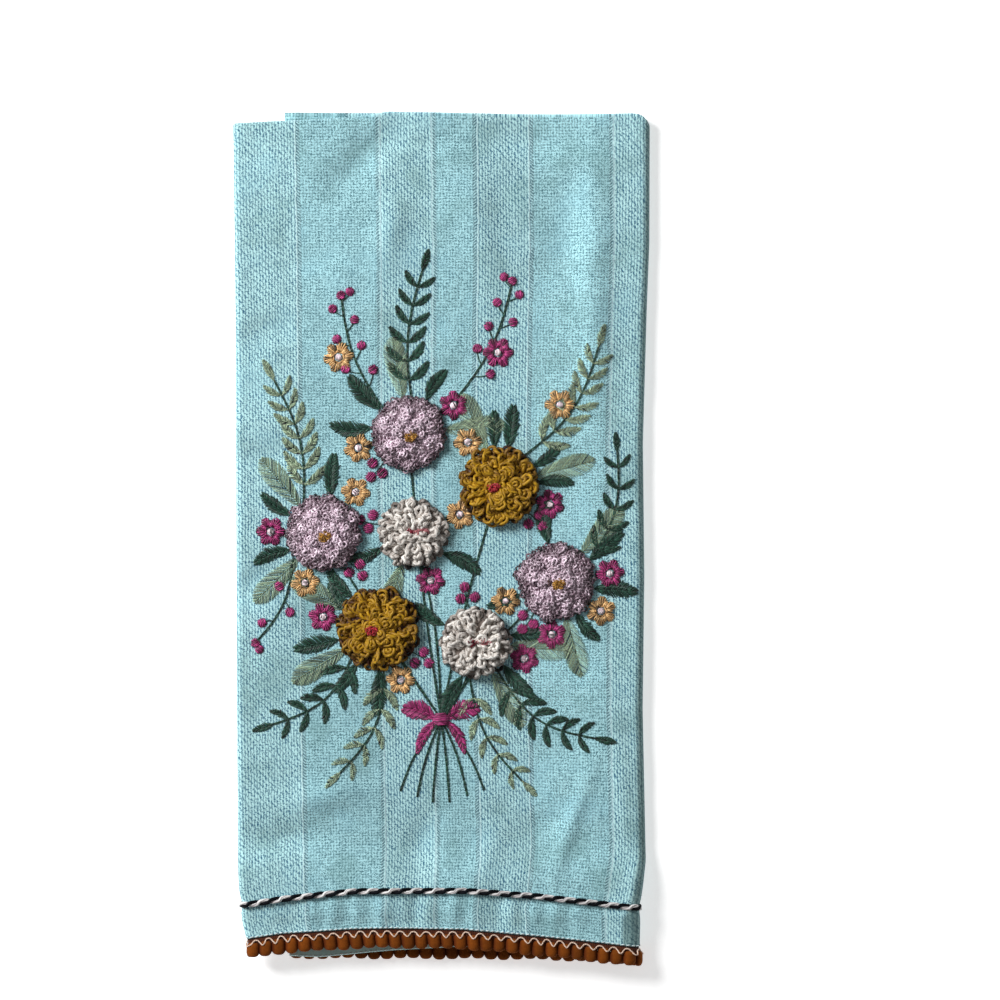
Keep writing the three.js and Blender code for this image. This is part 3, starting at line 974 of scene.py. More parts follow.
class Finish:
    """A material that is made once and then shared."""

    name: str

    def material(self) -> bpy.types.Material:
        """Makes the finish a Blender material, where it is not one yet.

        Returns:
            The material.
        """
        if self.name in bpy.data.materials:
            return bpy.data.materials[self.name]
        made = bpy.data.materials.new(self.name)
        made.use_nodes = True
        made.node_tree.nodes.clear()
        graph = Graph(made.node_tree)
        shader = graph.add("BsdfPrincipled")
        graph.add("OutputMaterial", {"Surface": shader.outputs[0]})
        self.dress(graph, shader)
        return made

    def dress(self, graph: Graph, shader: Node) -> None:
        """Sets the shader up."""
        raise NotImplementedError

    def tone(self, graph: Graph) -> Wire:
        """The shade that the piece gives for each thread, with any painted shade that it holds."""
        return Wire(graph, graph.add("Attribute", attribute_name="tone").outputs["Fac"])

    def dye(
        self, graph: Graph, shader: Node, colour: Value, scale: float, amount: float, painted_light: Value = 0.0
    ) -> None:
        """Gives the shader a colour, varied in patches and from thread to thread, and lighter where light is
        painted on.

        Args:
            graph: the material's nodes.
            shader: its Principled BSDF.
            colour: the colour before it varies.
            scale: patches to a metre.
            amount: how uneven the patches are.
            painted_light: extra lightness.
        """
        tone = self.tone(graph) + painted_light
        values = {"Place": place_of(graph), "Colour": colour, "Scale": scale, "Amount": amount}
        graph.feed(shader.inputs["Base Color"], DYE_VARIATION.use(graph, Tone=tone, **values)["Colour"])

    def bump(self, graph: Graph, shader: Node, height: Value, depth: float, strength: float) -> None:
        """Gives the shader a bump of a depth in metres."""
        values = {"Height": height, "Distance": depth, "Strength": strength}
        graph.feed(shader.inputs["Normal"], graph.add("Bump", values).outputs[0])


def place_of(graph: Graph) -> Wire:
    """Object coordinates."""
    return Wire(graph, graph.add("TexCoord").outputs["Object"])


def flat_of(graph: Graph) -> Wire:
    """The piece's own flat coordinates."""
    return Wire(graph, graph.add("UVMap", uv_map="flat").outputs[0])


def set_sockets(shader: Node, **values: object) -> None:
    """Sets inputs of a shader, whose names have underscores for spaces."""
    for name, value in values.items():
        shader.inputs[name.replace("_", " ")].default_value = value


@dataclass(frozen=True)
class WovenCotton(Finish):
    """The towel's striped cotton.

    A span is two places on the flat towel, in metres, between which its colour changes: at the right
    fold, which painted shade greys, past that fold, below the cord, and towards the right of the front
    and at the back's hem, which painted light makes lighter.
    """

    name: str = "woven cotton"
    float_light: Colour = srgb(206, 253, 255)
    float_dark: Colour = srgb(50, 107, 138)
    plain_light: Colour = srgb(192, 244, 252)
    plain_dark: Colour = srgb(54, 104, 118)
    line: Colour = srgb(218, 250, 254)
    pick: Colour = srgb(58, 94, 108)
    blue: Colour = srgb(156, 214, 232)
    grey: Colour = srgb(104, 146, 144)
    # Painted shade: this grey darkens the right fold where it turns away from the lamp.
    painted_fold_shade: Colour = srgb(74, 98, 92)
    # Painted light: this light tint brightens the back's hem strip, which lies in the shade of the front's
    # trim.
    painted_hem_light: Colour = srgb(216, 255, 250)
    painted_fold_shade_span: Pair = (0.0835, 0.0865)
    past_fold_span: Pair = (-0.106, -0.098)
    cord_span: Pair = (0.150, 0.156)
    # Painted light: the front is made lighter towards its right, where its slope takes less of the lamp.
    painted_light_span: Pair = (0.028, 0.060)
    painted_hem_light_span: Pair = (0.513, 0.517)

    def dress(self, graph: Graph, shader: Node) -> None:
        """Colours the threads, with painted shade that greys the right fold and painted light beside it and
        at the back's hem.

        Args:
            graph: the material's nodes.
            shader: its Principled BSDF.
        """
        weave = WOVEN_STRIPES.use(graph, Flat=flat_of(graph))
        twill = graph.mix(weave["Lightness"], self.float_dark, self.float_light)
        plain = graph.mix(weave["Lightness"], self.plain_dark, self.plain_light)
        colour = graph.mix(weave["Plain"], twill, plain)
        patches = graph.noise(place_of(graph), 55.0)
        across, along = graph.parts(flat_of(graph))
        below_cord = graph.step(along * -1.0, *self.cord_span) * 0.003
        front = graph.step(across * -1.0, *self.past_fold_span)
        # Painted shade on the right fold, which reaches a little further in below the cord.
        fold = graph.step(across - along * 0.009 + below_cord, *self.painted_fold_shade_span) * (front * 0.8 + 0.2)
        for share, tint in (
            (graph.step(patches, 0.5, 0.7) * 0.2, self.blue),
            (graph.step(patches * -1.0, -0.5, -0.3) * 0.3, self.grey),
            (weave["Line"] * 0.5, self.line),
            (weave["Picks"] * 0.65, self.pick),
            (fold * 0.65, self.painted_fold_shade),
            # Painted light on the back's hem strip, which the front's trim shades.
            (graph.step(along, *self.painted_hem_light_span) * 0.9, self.painted_hem_light),
        ):
            colour = graph.mix(share, colour, tint)
        # Painted light: a lighter tint towards the right of the front, where the cloth slopes away from the
        # lamp.
        painted_light = graph.step(across, *self.painted_light_span) * front * 0.14
        self.dye(graph, shader, colour, 24.0, 0.42, painted_light)
        set_sockets(shader, Roughness=0.92, Sheen_Weight=0.12, Sheen_Roughness=0.6, Specular_IOR_Level=0.18)
        self.bump(graph, shader, weave["Height"], 0.0002, 0.6)


@dataclass(frozen=True)
class PliedYarn(Finish):
    """Yarn whose plies and fibres show.

    Args:
        light, deep: colour of the plies, and of the grooves between them, darkened there as painted shade.
        lay: metres along the yarn for one turn of a ply.
        gloss: roughness.
        sheen: weight of the soft light on its fibres.
        depth: metres from the ply's top to the groove.
        variety: how uneven its dye is.
        shine: level of its mirror light.
        close: how narrow the grooves are; less is narrower.
    """

    name: str
    light: Colour
    deep: Colour
    plies: float = 2.0
    lay: float = 0.0028
    gloss: float = 0.75
    sheen: float = 0.25
    depth: float = 0.0002
    variety: float = 0.5
    shine: float = 0.3
    close: float = 0.6

    def dress(self, graph: Graph, shader: Node) -> None:
        """Darkens the grooves with painted shade and scatters fibres over the plies.

        Args:
            graph: the material's nodes.
            shader: its Principled BSDF.
        """
        turns = {"Plies": self.plies, "Lay": self.lay, "Close": self.close}
        twist = YARN_TWIST.use(graph, Flat=flat_of(graph), Fuzz=0.6, **turns)
        share = (twist["Groove"] * graph.between(twist["Fibres"], 0.55, 1.25) + self.tone(graph)).limited()
        self.dye(graph, shader, graph.mix(share, self.deep, self.light), 260.0, self.variety)
        set_sockets(shader, Roughness=self.gloss, Specular_IOR_Level=self.shine)
        set_sockets(shader, Sheen_Weight=self.sheen, Sheen_Roughness=0.4)
        self.bump(graph, shader, twist["Height"], self.depth, 0.9)


@dataclass(frozen=True)
class Velvet(Finish):
    """Short cut pile of the bobbles, with painted shade darker down its sides."""

    name: str = "rust velvet"
    light: Colour = srgb(137, 72, 15)
    deep: Colour = srgb(66, 14, 4)

    def dress(self, graph: Graph, shader: Node) -> None:
        """Mottles the pile and paints shade that darkens it towards both sides of each bobble.

        Args:
            graph: the material's nodes.
            shader: its Principled BSDF.
        """
        across, _ = graph.parts(flat_of(graph))
        pile = graph.noise(place_of(graph), 1300.0, 3.0)
        colour = graph.mix(graph.between(pile, 0.5, 1.1), self.deep, self.light)
        # Painted shade: darker towards both sides, where each bobble turns away from the light.
        edge = graph.step(across.apply("ABSOLUTE"), 0.0010, 0.0028)
        self.dye(graph, shader, graph.mix(edge * 0.75, colour, self.deep), 160.0, 0.4)
        set_sockets(shader, Roughness=0.9, Sheen_Weight=0.2, Sheen_Roughness=0.35, Specular_IOR_Level=0.15)
        set_sockets(shader, Sheen_Tint=srgb(214, 132, 60))
        self.bump(graph, shader, graph.noise(place_of(graph), 3000.0), 0.0002, 0.5)


@dataclass(frozen=True)
class RibbedTape(Finish):
    """Narrow woven tape that the bobbles hang from."""

    name: str = "rust tape"
    light: Colour = srgb(108, 56, 30)
    deep: Colour = srgb(38, 14, 12)
    # Painted shadow: the dark line that the hem casts on the tape's top.
    edge: Colour = srgb(26, 18, 18)

    def dress(self, graph: Graph, shader: Node) -> None:
        """Cross ribs, and a painted shadow of the hem as a dark line under it.

        Args:
            graph: the material's nodes.
            shader: its Principled BSDF.
        """
        along, down = graph.parts(flat_of(graph))
        ribs = (along / 0.0009).wave()
        lit = (ribs * 0.4 + graph.noise(place_of(graph), 1500.0) - 0.2).limited()
        # Painted shadow of the hem along the tape's top.
        colour = graph.mix(graph.step(down, 0.0001, 0.0008), self.edge, graph.mix(lit, self.deep, self.light))
        graph.feed(shader.inputs["Base Color"], colour)
        set_sockets(shader, Roughness=0.9, Sheen_Weight=0.15, Specular_IOR_Level=0.15)
        self.bump(graph, shader, lit, 0.0002, 0.8)


@dataclass(frozen=True)
class SatinThread(Finish):
    """Shiny embroidery thread, whose strands run along each stitch."""

    name: str
    light: Colour
    deep: Colour
    gloss: float = 0.42

    def dress(self, graph: Graph, shader: Node) -> None:
        """Fine strands along the stitch, with painted shade in the grooves between them, each stitch in a
        shade of its own.

        Args:
            graph: the material's nodes.
            shader: its Principled BSDF.
        """
        twist = YARN_TWIST.use(graph, Flat=flat_of(graph), Plies=2.0, Lay=0.0016, Fuzz=0.5, Close=1.1)
        self.dye(graph, shader, graph.mix(twist["Groove"], self.deep, self.light), 120.0, 0.3)
        set_sockets(shader, Roughness=self.gloss, Sheen_Weight=0.1, Specular_IOR_Level=0.5)
        self.bump(graph, shader, twist["Height"], 0.0001, 0.7)


@dataclass(frozen=True)
class PaleFloor(Finish):
    """The plain floor."""

    name: str = "pale floor"

    def dress(self, graph: Graph, shader: Node) -> None:
        """Nearly white all over, with a trace of unevenness.

        Args:
            graph: the material's nodes.
            shader: its Principled BSDF.
        """
        speck = graph.noise(place_of(graph), 6.0)
        colour = graph.mix(speck, srgb(252, 252, 252), srgb(255, 255, 255))
        graph.feed(shader.inputs["Base Color"], colour)
        set_sockets(shader, Roughness=0.9, Specular_IOR_Level=0.1)
        set_sockets(shader, Emission_Color=(1, 1, 1, 1), Emission_Strength=0.55)


DARK_CORD = PliedYarn(
    "near black cord", srgb(9, 11, 20), srgb(2, 2, 5), plies=3.0, lay=0.0042, gloss=0.7, sheen=0.0, shine=0.12
)
IVORY_CORD = PliedYarn(
    "ivory cord", srgb(255, 254, 252), srgb(116, 96, 104), plies=3.0, lay=0.0042, gloss=0.7, sheen=0.1
)
WAVE_THREAD = PliedYarn(
    "shell pink thread", srgb(255, 232, 212), srgb(216, 160, 130), lay=0.0016, gloss=0.5, sheen=0.2
)
OCHRE = PliedYarn(
    "ochre yarn", srgb(192, 148, 24), srgb(86, 24, 0),
    lay=0.0036, gloss=0.5, sheen=0.05, variety=0.7, shine=0.4, close=0.32,
)
CREAM = PliedYarn(
    "cream yarn", srgb(255, 251, 244), srgb(178, 161, 151),
    plies=3.0, lay=0.0048, gloss=0.8, sheen=0.3, depth=0.0003, variety=0.3, close=0.55,
)
LILAC = PliedYarn(
    "lilac yarn", srgb(255, 234, 248), srgb(138, 92, 116),
    lay=0.0014, gloss=0.28, sheen=0.4, depth=0.0001, variety=0.8, shine=0.8,
)
RED_HEART = PliedYarn("red heart yarn", srgb(206, 52, 62), srgb(112, 16, 30), lay=0.0016)
WINE_HEART = PliedYarn("wine heart yarn", srgb(140, 26, 52), srgb(74, 8, 26), lay=0.0016)
ROSE_HEART = PliedYarn("rose heart yarn", srgb(206, 128, 132), srgb(146, 78, 86), lay=0.0016)
GOLD_HEART = PliedYarn("gold heart yarn", srgb(214, 160, 72), srgb(140, 88, 30), lay=0.0016, gloss=0.4)


class Thread(Enum):
    """Colours of embroidery thread."""

    LEAF = SatinThread("leaf green thread", srgb(46, 90, 73), srgb(0, 14, 8))
    SAGE = SatinThread("sage thread", srgb(178, 196, 162), srgb(92, 118, 98))
    MAGENTA = SatinThread("magenta thread", srgb(196, 68, 136), srgb(76, 2, 46))
    ORANGE = SatinThread("orange thread", srgb(240, 198, 136), srgb(150, 96, 50))
    WHITE = SatinThread("white thread", srgb(255, 242, 246), srgb(216, 180, 194))
    HEM = SatinThread("hem thread", srgb(236, 248, 250), srgb(190, 214, 220), 0.6)


# ---- the towel


@dataclass
class TowelCloth:
    """The towel itself: one sheet up the front, over the fold across and down the back.

    Args:
        columns: columns of the sheet in each of its five stretches.
        front_step, back_step: Y from one row to the next, on the front and the hidden back.
        left_line, right_line: where the flat towel has the side folds.
        side_folds, fold_length: cloth that the side folds and the fold across take up.
        even_rows: Y between which the rows lie straight across.
        flat_hem: Y of the hem on the flat towel, whose skew starts at skew_start.
    """

    columns: tuple[int, ...] = (18, 10, 118, 12, 22)
    front_step: float = 2.1
    back_step: float = 8.0
    crest_steps: int = 8
    flat_size: Pair = (0.50, 0.71)
    hem_roll: Table = table("depth share", (0, 0.25), (0.06, 0.5), (0.18, 0.78), (0.35, 0.94), (0.6, 1.0))
    left_line: Table = table("y u", (-150, -87.1), (175, -84.5))
    right_line: Table = table("y u", (-150, 83.3), (175, 84.9))
    side_folds: Pair = (6.6, 9.4)
    fold_length: float = 4.0
    third_width: float = 150.0
    even_rows: Pair = (-161.5, 168.0)
    flat_hem: float = -166.6
    skew_start: float = -60.0
    skew_length: float = 90.0
    stitch_pitch: float = 2.1
    stitch_length: float = 1.5

    def places(self) -> Array:
        """Places of the columns across the towel."""
        parts = [np.linspace(n, n + 1, count, endpoint=False) for n, count in enumerate(self.columns)]
        return np.concatenate([*parts, [float(PACK.places)]])

    def rows(self, half: Half, place: Array, fold_middle: Array) -> Array:
        """Y of each row of one half, from its hem up, for each column.

        Args:
            half: the half of the towel.
            place: places of the columns.
            fold_middle: Y of the fold's middle at each.

        Returns:
            Rows of Y for the columns.
        """
        hem = PACK.end_at(half.value, place)
        first, last = self.even_rows
        step = self.front_step if half is Half.FRONT else self.back_step
        roll = self.hem_roll.column("depth")
        near_hem = hem + roll[:, None]
        shares = np.linspace(0, 1, 5)[1:-1, None]
        join = near_hem[-1] + (first - near_hem[-1]) * shares
        plain = np.linspace(first, last, round((last - first) / step) + 1)
        middle = np.broadcast_to(plain[:, None], (len(plain), len(place)))
        crown = last + (fold_middle - last) * np.linspace(0, 1, 4)[1:, None]
        return np.concatenate([near_hem, join, middle, crown])

    def flat_map(self, half: Half, place: Array, y: Array) -> Array:
        """Where places on one half lie on the flat towel.

        Args:
            half: the half of the towel.
            place, y: the places.

        Returns:
            Metres across and along the flat towel.
        """
        stretch = np.clip(np.floor(place), 0, 4).astype(int)
        left, right = self.left_line.read("u", y), self.right_line.read("u", y)
        before, after = left - self.side_folds[0], right + self.side_folds[1]
        marks = np.stack([before - self.third_width, before, left, right, after, after + self.third_width])
        low, high = (np.take_along_axis(marks, stretch[None] + n, axis=0)[0] for n in (0, 1))
        u = low + (high - low) * (place - stretch)
        drop = PACK.end_at("front", place) - self.flat_hem
        v = y - drop * smooth((self.skew_start - y) / self.skew_length)
        over_fold = 2 * PACK.fold_y + self.fold_length - v
        return np.stack([u, v if half is Half.FRONT else over_fold], axis=-1) * MM

    def grid(self) -> tuple[Array, Array, Array]:
        """Rows and columns of points over the whole sheet.

        Returns:
            Points in the middle of the cloth, their flat coordinates and their share of its thickness.
        """
        place = self.places()
        middle_y = PACK.end_at("top", place) - PACK.cloth / 2 - PACK.half_pitch
        halves, flats = {}, {}
        for half in Half:
            y = self.rows(half, place, middle_y)
            wide = np.broadcast_to(place, y.shape)
            halves[half] = PACK.point(half, wide, y)
            flats[half] = self.flat_map(half, wide, y)
        front, back = halves[Half.FRONT][-1], halves[Half.BACK][-1]
        middle, arm = (front + back) / 2, (front - back) / 2
        reach = np.linalg.norm(arm, axis=-1)
        crest, crest_flat = [], []
        for number in range(1, self.crest_steps):
            turn = math.pi * number / self.crest_steps
            up = np.stack([0 * reach, reach * math.sin(turn), 0 * reach], axis=-1)
            crest.append(middle + arm * math.cos(turn) + up)
            share = number / self.crest_steps
            crest_flat.append(flats[Half.FRONT][-1] * (1 - share) + flats[Half.BACK][-1] * share)
        points = np.concatenate([halves[Half.FRONT], crest, halves[Half.BACK][::-1]])
        flat = np.concatenate([flats[Half.FRONT], crest_flat, flats[Half.BACK][::-1]])
        roll = self.hem_roll.column("share")
        share = np.ones(points.shape[:2])
        share[: len(roll)] = roll[:, None]
        share[-len(roll) :] = roll[::-1, None]
        return points, flat, share

    def shape(self) -> Shape:
        """The sheet with both of its faces and its edges.

        Returns:
            The closed sheet.
        """
        points, flat, share = self.grid()
        rows, columns = points.shape[:2]
        across, down = np.gradient(points, axis=1), np.gradient(points, axis=0)
        normals = unit(np.cross(across, down)) * (share * PACK.cloth / 2)[..., None]
        faces, _ = grid_faces(rows, columns, ring=False, loop=False)
        count = rows * columns
        rim = np.concatenate(
            [
                np.arange(columns),
                np.arange(1, rows) * columns + columns - 1,
                (rows - 1) * columns + np.arange(columns - 2, -1, -1),
                np.arange(rows - 2, 0, -1) * columns,
            ]
        )
        after = np.roll(rim, -1)
        walls = np.stack([rim, rim + count, after + count, after], axis=1)
        quads = np.concatenate([faces, faces[:, ::-1] + count, walls])
        both = np.concatenate([flat.reshape(-1, 2)] * 2)
        solid = np.concatenate([(points + normals).reshape(-1, 3), (points - normals).reshape(-1, 3)])
        return Shape(solid, [quads], [both[quads]])

    def stitching(self, half: Half) -> Shape:
        """Row of small stitches along a hem.

        Args:
            half: the half whose hem it follows.

        Returns:
            The stitches as one shape.
        """
        place, travelled = PACK.hem_places()
        count = int(travelled[-1] / self.stitch_pitch)
        starts = (np.arange(count) + 0.3) * travelled[-1] / count
        along = starts[:, None] + np.linspace(0, self.stitch_length, 5)
        at = np.interp(along, travelled, place)
        y = PACK.end_at(half.value, at) + 0.5
        lift = PACK.cloth / 2 + np.array([-0.12, 0.1, 0.16, 0.1, -0.12])
        out = PACK.outward(half, at, y)
        if half is Half.BACK:
            out = -out
        paths = PACK.point(half, at, y) + out * lift[:, None]
        radius = np.array([0.16, 0.28, 0.3, 0.28, 0.16])
        tone = 0.12 * np.sin(np.arange(count) * 2.3)[:, None]
        return tubes(paths, out, radius, 5, tone=tone)

    def build(self) -> list[Piece]:
        """Makes the sheet and the stitching of both hems.

        Returns:
            The sheet, then the stitching.
        """
        sheet = self.shape().piece("towel_sheet", WovenCotton(), "cotton_cloth", "towel_cloth")
        stitches = self.stitching(Half.FRONT).joined(self.stitching(Half.BACK))
        return [sheet, stitches.piece("hem_stitching", Thread.HEM.value, "cotton_cloth")]


@dataclass
class TwistedCord:
    """Two strands laid round each other, sewn over the front from selvedge to selvedge.

    Args:
        lay: length of the cord for one turn of its strands.
        height, pressed: height of the cord, and where cloth lies on it.
        steps: points for each turn.
    """

    lay: float = 9.25
    spread: float = 0.62
    crossing: float = 0.5
    haste: float = 0.08
    height: float = 2.5
    pressed: float = 1.5
    steps: int = 18
    sides: int = 8

    def line(self) -> tuple[Array, Array, Array, Array]:
        """Evenly spaced places along the cord's middle.

        Returns:
            Their points, their upward and sideways directions and the cord's height there.
        """
        place = np.linspace(0, PACK.places, 2001)
        y = PACK.cord_at(place)
        # Cloth lies on the cord everywhere but on the centre third.
        open_share = smooth((place - 1.6) / 0.4) * (1 - smooth((place - 2.9) / 0.1))
        height = self.pressed + (self.height - self.pressed) * open_share
        out = PACK.outward(Half.FRONT, place, y)
        lift = PACK.cloth / 2 + height / 2
        points = PACK.point(Half.FRONT, place, y) + out * lift[:, None]
        travelled = np.concatenate([[0], np.cumsum(np.linalg.norm(np.diff(points, axis=0), axis=1))])
        count = round(travelled[-1] / self.lay * self.steps)
        at = np.linspace(0, travelled[-1], count + 1)
        columns = np.concatenate([points, out, height[:, None]], axis=1).T
        spaced = np.stack([np.interp(at, travelled, column) for column in columns], axis=1)
        middle, up = spaced[:, :3], unit(spaced[:, 3:6])
        side = unit(np.cross(up, unit(np.gradient(middle, axis=0))))
        return middle, up, side, spaced[:, 6]

    def strand_shape(self, phase: float, thick: float) -> Shape:
        """One strand.

        Args:
            phase: where in a turn it starts.
            thick: its radius.

        Returns:
            The strand's shape.
        """
        middle, up, side, height = self.line()
        turn = 2 * math.pi * np.arange(len(middle)) / self.steps + phase
        squash = (height / self.height)[:, None]
        # The strands lie side by side and cross over quickly.
        across = np.sin(turn) / np.sqrt(np.sin(turn) ** 2 + self.haste * np.cos(turn) ** 2)
        lift = np.cos(turn) * self.crossing
        path = middle + side * (across * self.spread)[:, None] + up * lift[:, None] * squash
        tone = 0.1 * np.sin(np.arange(len(middle)) * 0.37 + phase)
        return tubes(path[None], up[None], thick, self.sides, tone=tone, flatten=squash[None, :, 0])

    def build(self) -> list[Piece]:
        """Makes both strands.

        Returns:
            The dark strand and the ivory one.
        """
        dark, ivory = self.strand_shape(0.0, 0.74), self.strand_shape(math.pi, 0.72)
        return [
            dark.piece("cord_dark_strand", DARK_CORD, "cord_yarn", "twisted_cord"),
            ivory.piece("cord_ivory_strand", IVORY_CORD, "cord_yarn", "twisted_cord"),
        ]


@dataclass
class BobbleTrim:
    """Tape, wavy thread and velvet bobbles below the front's hem.

    Args:
        pitch: from one bobble to the next.
        bobble: width, length and thickness of a bobble.
        left_thick, right_thick: thickness of those under the left and right thirds.
        rounding: how far its ends are bevelled; cuts are the rings between them.
        tape: depth and thickness of the tape.
    """

    pitch: float = 5.5
    bobble: tuple[float, float, float] = (5.7, 6.3, 3.8)
    left_thick: float = 3.0
    right_thick: float = 3.6
    first_down: float = 1.9
    rounding: float = 1.95
    cuts: Pair = (-0.6, 1.0)
    tape: Pair = (2.9, 0.7)
    tape_sunk: float = 0.15
    thread: float = 0.32
    wave_rise: float = 1.1
    wave_down: float = 1.95
    wave_stretch: float = 1.02

    def barrel(self) -> Shape:
        """One bobble, modelled.

        Returns:
            Its shape, kept to be copied.
        """
        width, length, _ = self.bobble
        bpy.ops.object.select_all(action="DESELECT")
        bpy.ops.mesh.primitive_cylinder_add(
            vertices=20, radius=width / 2, depth=length, end_fill_type="NGON", rotation=(math.pi / 2, 0, 0)
        )
        made = bpy.context.object
        bpy.ops.object.transform_apply(location=True, rotation=True, scale=True)
        bpy.ops.object.mode_set(mode="EDIT")
        bpy.ops.mesh.select_mode(type="FACE")
        bpy.ops.mesh.select_all(action="DESELECT")
        bpy.ops.object.mode_set(mode="OBJECT")
        for face in made.data.polygons:
            face.select = abs(face.normal.y) > 0.9
        bpy.ops.object.mode_set(mode="EDIT")
        bpy.ops.mesh.bevel(offset=self.rounding, segments=4, affect="EDGES")
        bpy.ops.mesh.select_all(action="SELECT")
        for height in self.cuts:
            bpy.ops.mesh.bisect(plane_co=(0, height, 0), plane_no=(0, 1, 0))
            bpy.ops.mesh.select_all(action="SELECT")
        bpy.ops.object.mode_set(mode="OBJECT")
        return taken_shape(made)

    def ring(self) -> tuple[int, Callable[[Array], Array]]:
        """How the bobbles share out the hem.

        Returns:
            Their number, and a function for the place that a number of pitches reaches.
        """
        place, travelled = PACK.hem_places()
        count = round(travelled[-1] / self.pitch)
        return count, lambda number: np.interp(np.asarray(number) * travelled[-1] / count, travelled, place)

    def thickness(self, place: Array) -> Array:
        """Thickness of the bobbles.

        Args:
            place: places across the towel.

        Returns:
            The thickness at each place.
        """
        open_share = smooth((place - 2) / 0.1)
        thick = self.left_thick + (self.bobble[2] - self.left_thick) * open_share
        return np.where(place >= 3, self.right_thick, thick)

    def bobbles(self) -> Shape:
        """Every bobble along the hem, each a little different.

        Returns:
            All of them as one shape.
        """
        barrel = self.barrel()
        count, place_after = self.ring()
        local = barrel.points / np.array([self.bobble[0], self.bobble[1], self.bobble[0]])
        # A bobble is a little narrower at its foot.
        taper = 1 - 0.1 * smooth((-0.1 - local[:, 1]) / 0.4)
        shapes = []
        for number in range(count):
            lean = 0.05 * math.sin(number * 2.1) + 0.03 * math.sin(number * 0.7)
            size = 1 + 0.05 * math.sin(number * 1.3 + 1)
            wide = self.bobble[0] * (1 + 0.04 * math.sin(number * 3.1))
            across = local[:, 0] * taper * wide + lean * local[:, 1] * self.bobble[1]
            down = self.first_down + self.bobble[1] * size * (0.5 - local[:, 1])
            place = place_after(number + 0.5)
            thick = float(self.thickness(place))
            at = place_after(number + 0.5 + across / self.pitch)
            y = PACK.end_at("front", place) - down
            out = PACK.outward(Half.FRONT, at, y)
            points = PACK.point(Half.FRONT, at, y) + out * (local[:, 2] * taper * thick)[:, None]
            flat = np.stack([across, down], axis=1) * MM
            tone = np.full(len(points), 0.16 * math.sin(number * 1.9) + 0.08 * math.sin(number * 5.3))
            maps = [flat[faces] for faces in barrel.faces]
            shapes.append(Shape(points, barrel.faces, maps, tone))
        return shapes[0].joined(*shapes[1:])

    def tape_shape(self) -> Shape:
        """Tape from the hem down behind the bobbles' tops.

        Returns:
            The tape's shape, mapped in metres along it and down it.
        """
        count, place_after = self.ring()
        stations = np.linspace(0, count, count * 3 + 1)
        place = place_after(stations)
        deep, thick = self.tape
        upper = [(0.05, 0.5), (0.3, 0.95), (deep - 0.4, 0.85), (deep, 0.3)]
        section = upper + [(down, -share) for down, share in reversed(upper)]
        rings = []
        for down, share in section:
            y = PACK.end_at("front", place) - down
            out = PACK.outward(Half.FRONT, place, y)
            rings.append(PACK.point(Half.FRONT, place, y) + out * (share * thick / 2 - self.tape_sunk))
        shape = lofts(np.stack(rings, axis=1)[None], np.ones(1))
        _, places = grid_faces(len(place), len(section), ring=True, loop=False)
        depth = np.array([down for down, _ in (*section, section[0])])
        shape.maps[0] = np.stack([places[..., 1] * self.pitch / 3, depth[places[..., 0]]], axis=-1) * MM
        return shape

    def wave(self) -> Shape:
        """Thread that waves over the tape and the tops of the bobbles.

        Returns:
            The thread's shape.
        """
        count, place_after = self.ring()
        stations = np.linspace(0.02, count - 0.02, count * 12)
        place = place_after(stations)
        middle = math.floor(np.interp(2.5, place, stations)) + 0.5
        drift = math.pi + 0.3 * np.sin(stations * 0.63)
        turn = 2 * math.pi * (stations - middle) / self.wave_stretch + drift
        # Round crests between the bobbles and narrow troughs on them.
        swing = np.cos(turn) - 0.16 * np.cos(2 * turn)
        rise = self.wave_rise * (1 + 0.15 * np.sin(stations * 0.9))
        y = PACK.end_at("front", place) - self.wave_down + rise * swing
        out = PACK.outward(Half.FRONT, place, y)
        lift = 0.62 + (self.thickness(place) * 0.43 - 0.3) * smooth((0.4 - swing) / 1.4)
        path = PACK.point(Half.FRONT, place, y) + out * lift[:, None]
        path[:, 2] = np.maximum(path[:, 2], self.thread / 2)
        return tubes(path[None], np.array([0.0, 1.0, 0.0]), self.thread, 6)

    def build(self) -> list[Piece]:
        """Makes the trim's three pieces.

        Returns:
            The tape, the bobbles and the thread.
        """
        made = (
            ("trim_tape", self.tape_shape(), RibbedTape()),
            ("trim_bobbles", self.bobbles(), Velvet()),
            ("trim_wavy_thread", self.wave(), WAVE_THREAD),
        )
        return [shape.piece(name, finish, "trim_velvet", "bobble_trim") for name, shape, finish in made]


# ---- looped blooms


@dataclass(frozen=True)
class LoopRing:
    """A ring of loops that lie outwards like the petals of a bloom.

    Args:
        count: loops in a bloom of 16 mm radius.
        foot, low: shares of the radius and of the height at which they start.
        slope, spread, roll: degrees by which they rise, stray and lie on their sides.
    """

    count: int
    foot: float
    low: float
    slope: float
    long: float
    wide: float
    spread: float = 14.0
    roll: float = 24.0


@dataclass(frozen=True)
class Heap:
    """A ring of small mounds, each covered in curls. All but their count are shares of the bloom."""

    count: int
    away: float
    size: float
    top: float


@dataclass(frozen=True)
class Heart:
    """A patch of short loops of another yarn near a bloom's middle.

    Args:
        x, y: its place from the middle.
        turn: its heading in degrees.
        level: share of the height at which it lies.
    """

    finish: Finish
    x: float
    y: float
    long: float
    wide: float
    turn: float = 0.0
    level: float = 0.85
    yarn: float = 0.28


@dataclass(frozen=True)
class LoopKind:
    """Yarn and loops of one kind of bloom.

    Args:
        yarn: radius of the yarn.
        lobes, notch: petals that the outline shows, and its depth between two as a share.
        wrinkle: how far the yarn strays from an even loop.
        nested: sizes of the loops inside each loop, as shares of it.
        curl: size of a curl on a mound.
    """

    finish: Finish
    slot: str
    yarn: float
    rings: tuple[LoopRing, ...]
    heaps: tuple[Heap, ...]
    hearts: tuple[Heart, ...]
    lobes: int
    notch: float
    wrinkle: float = 0.0
    nested: tuple[float, ...] = ()
    curl: float = 1.0


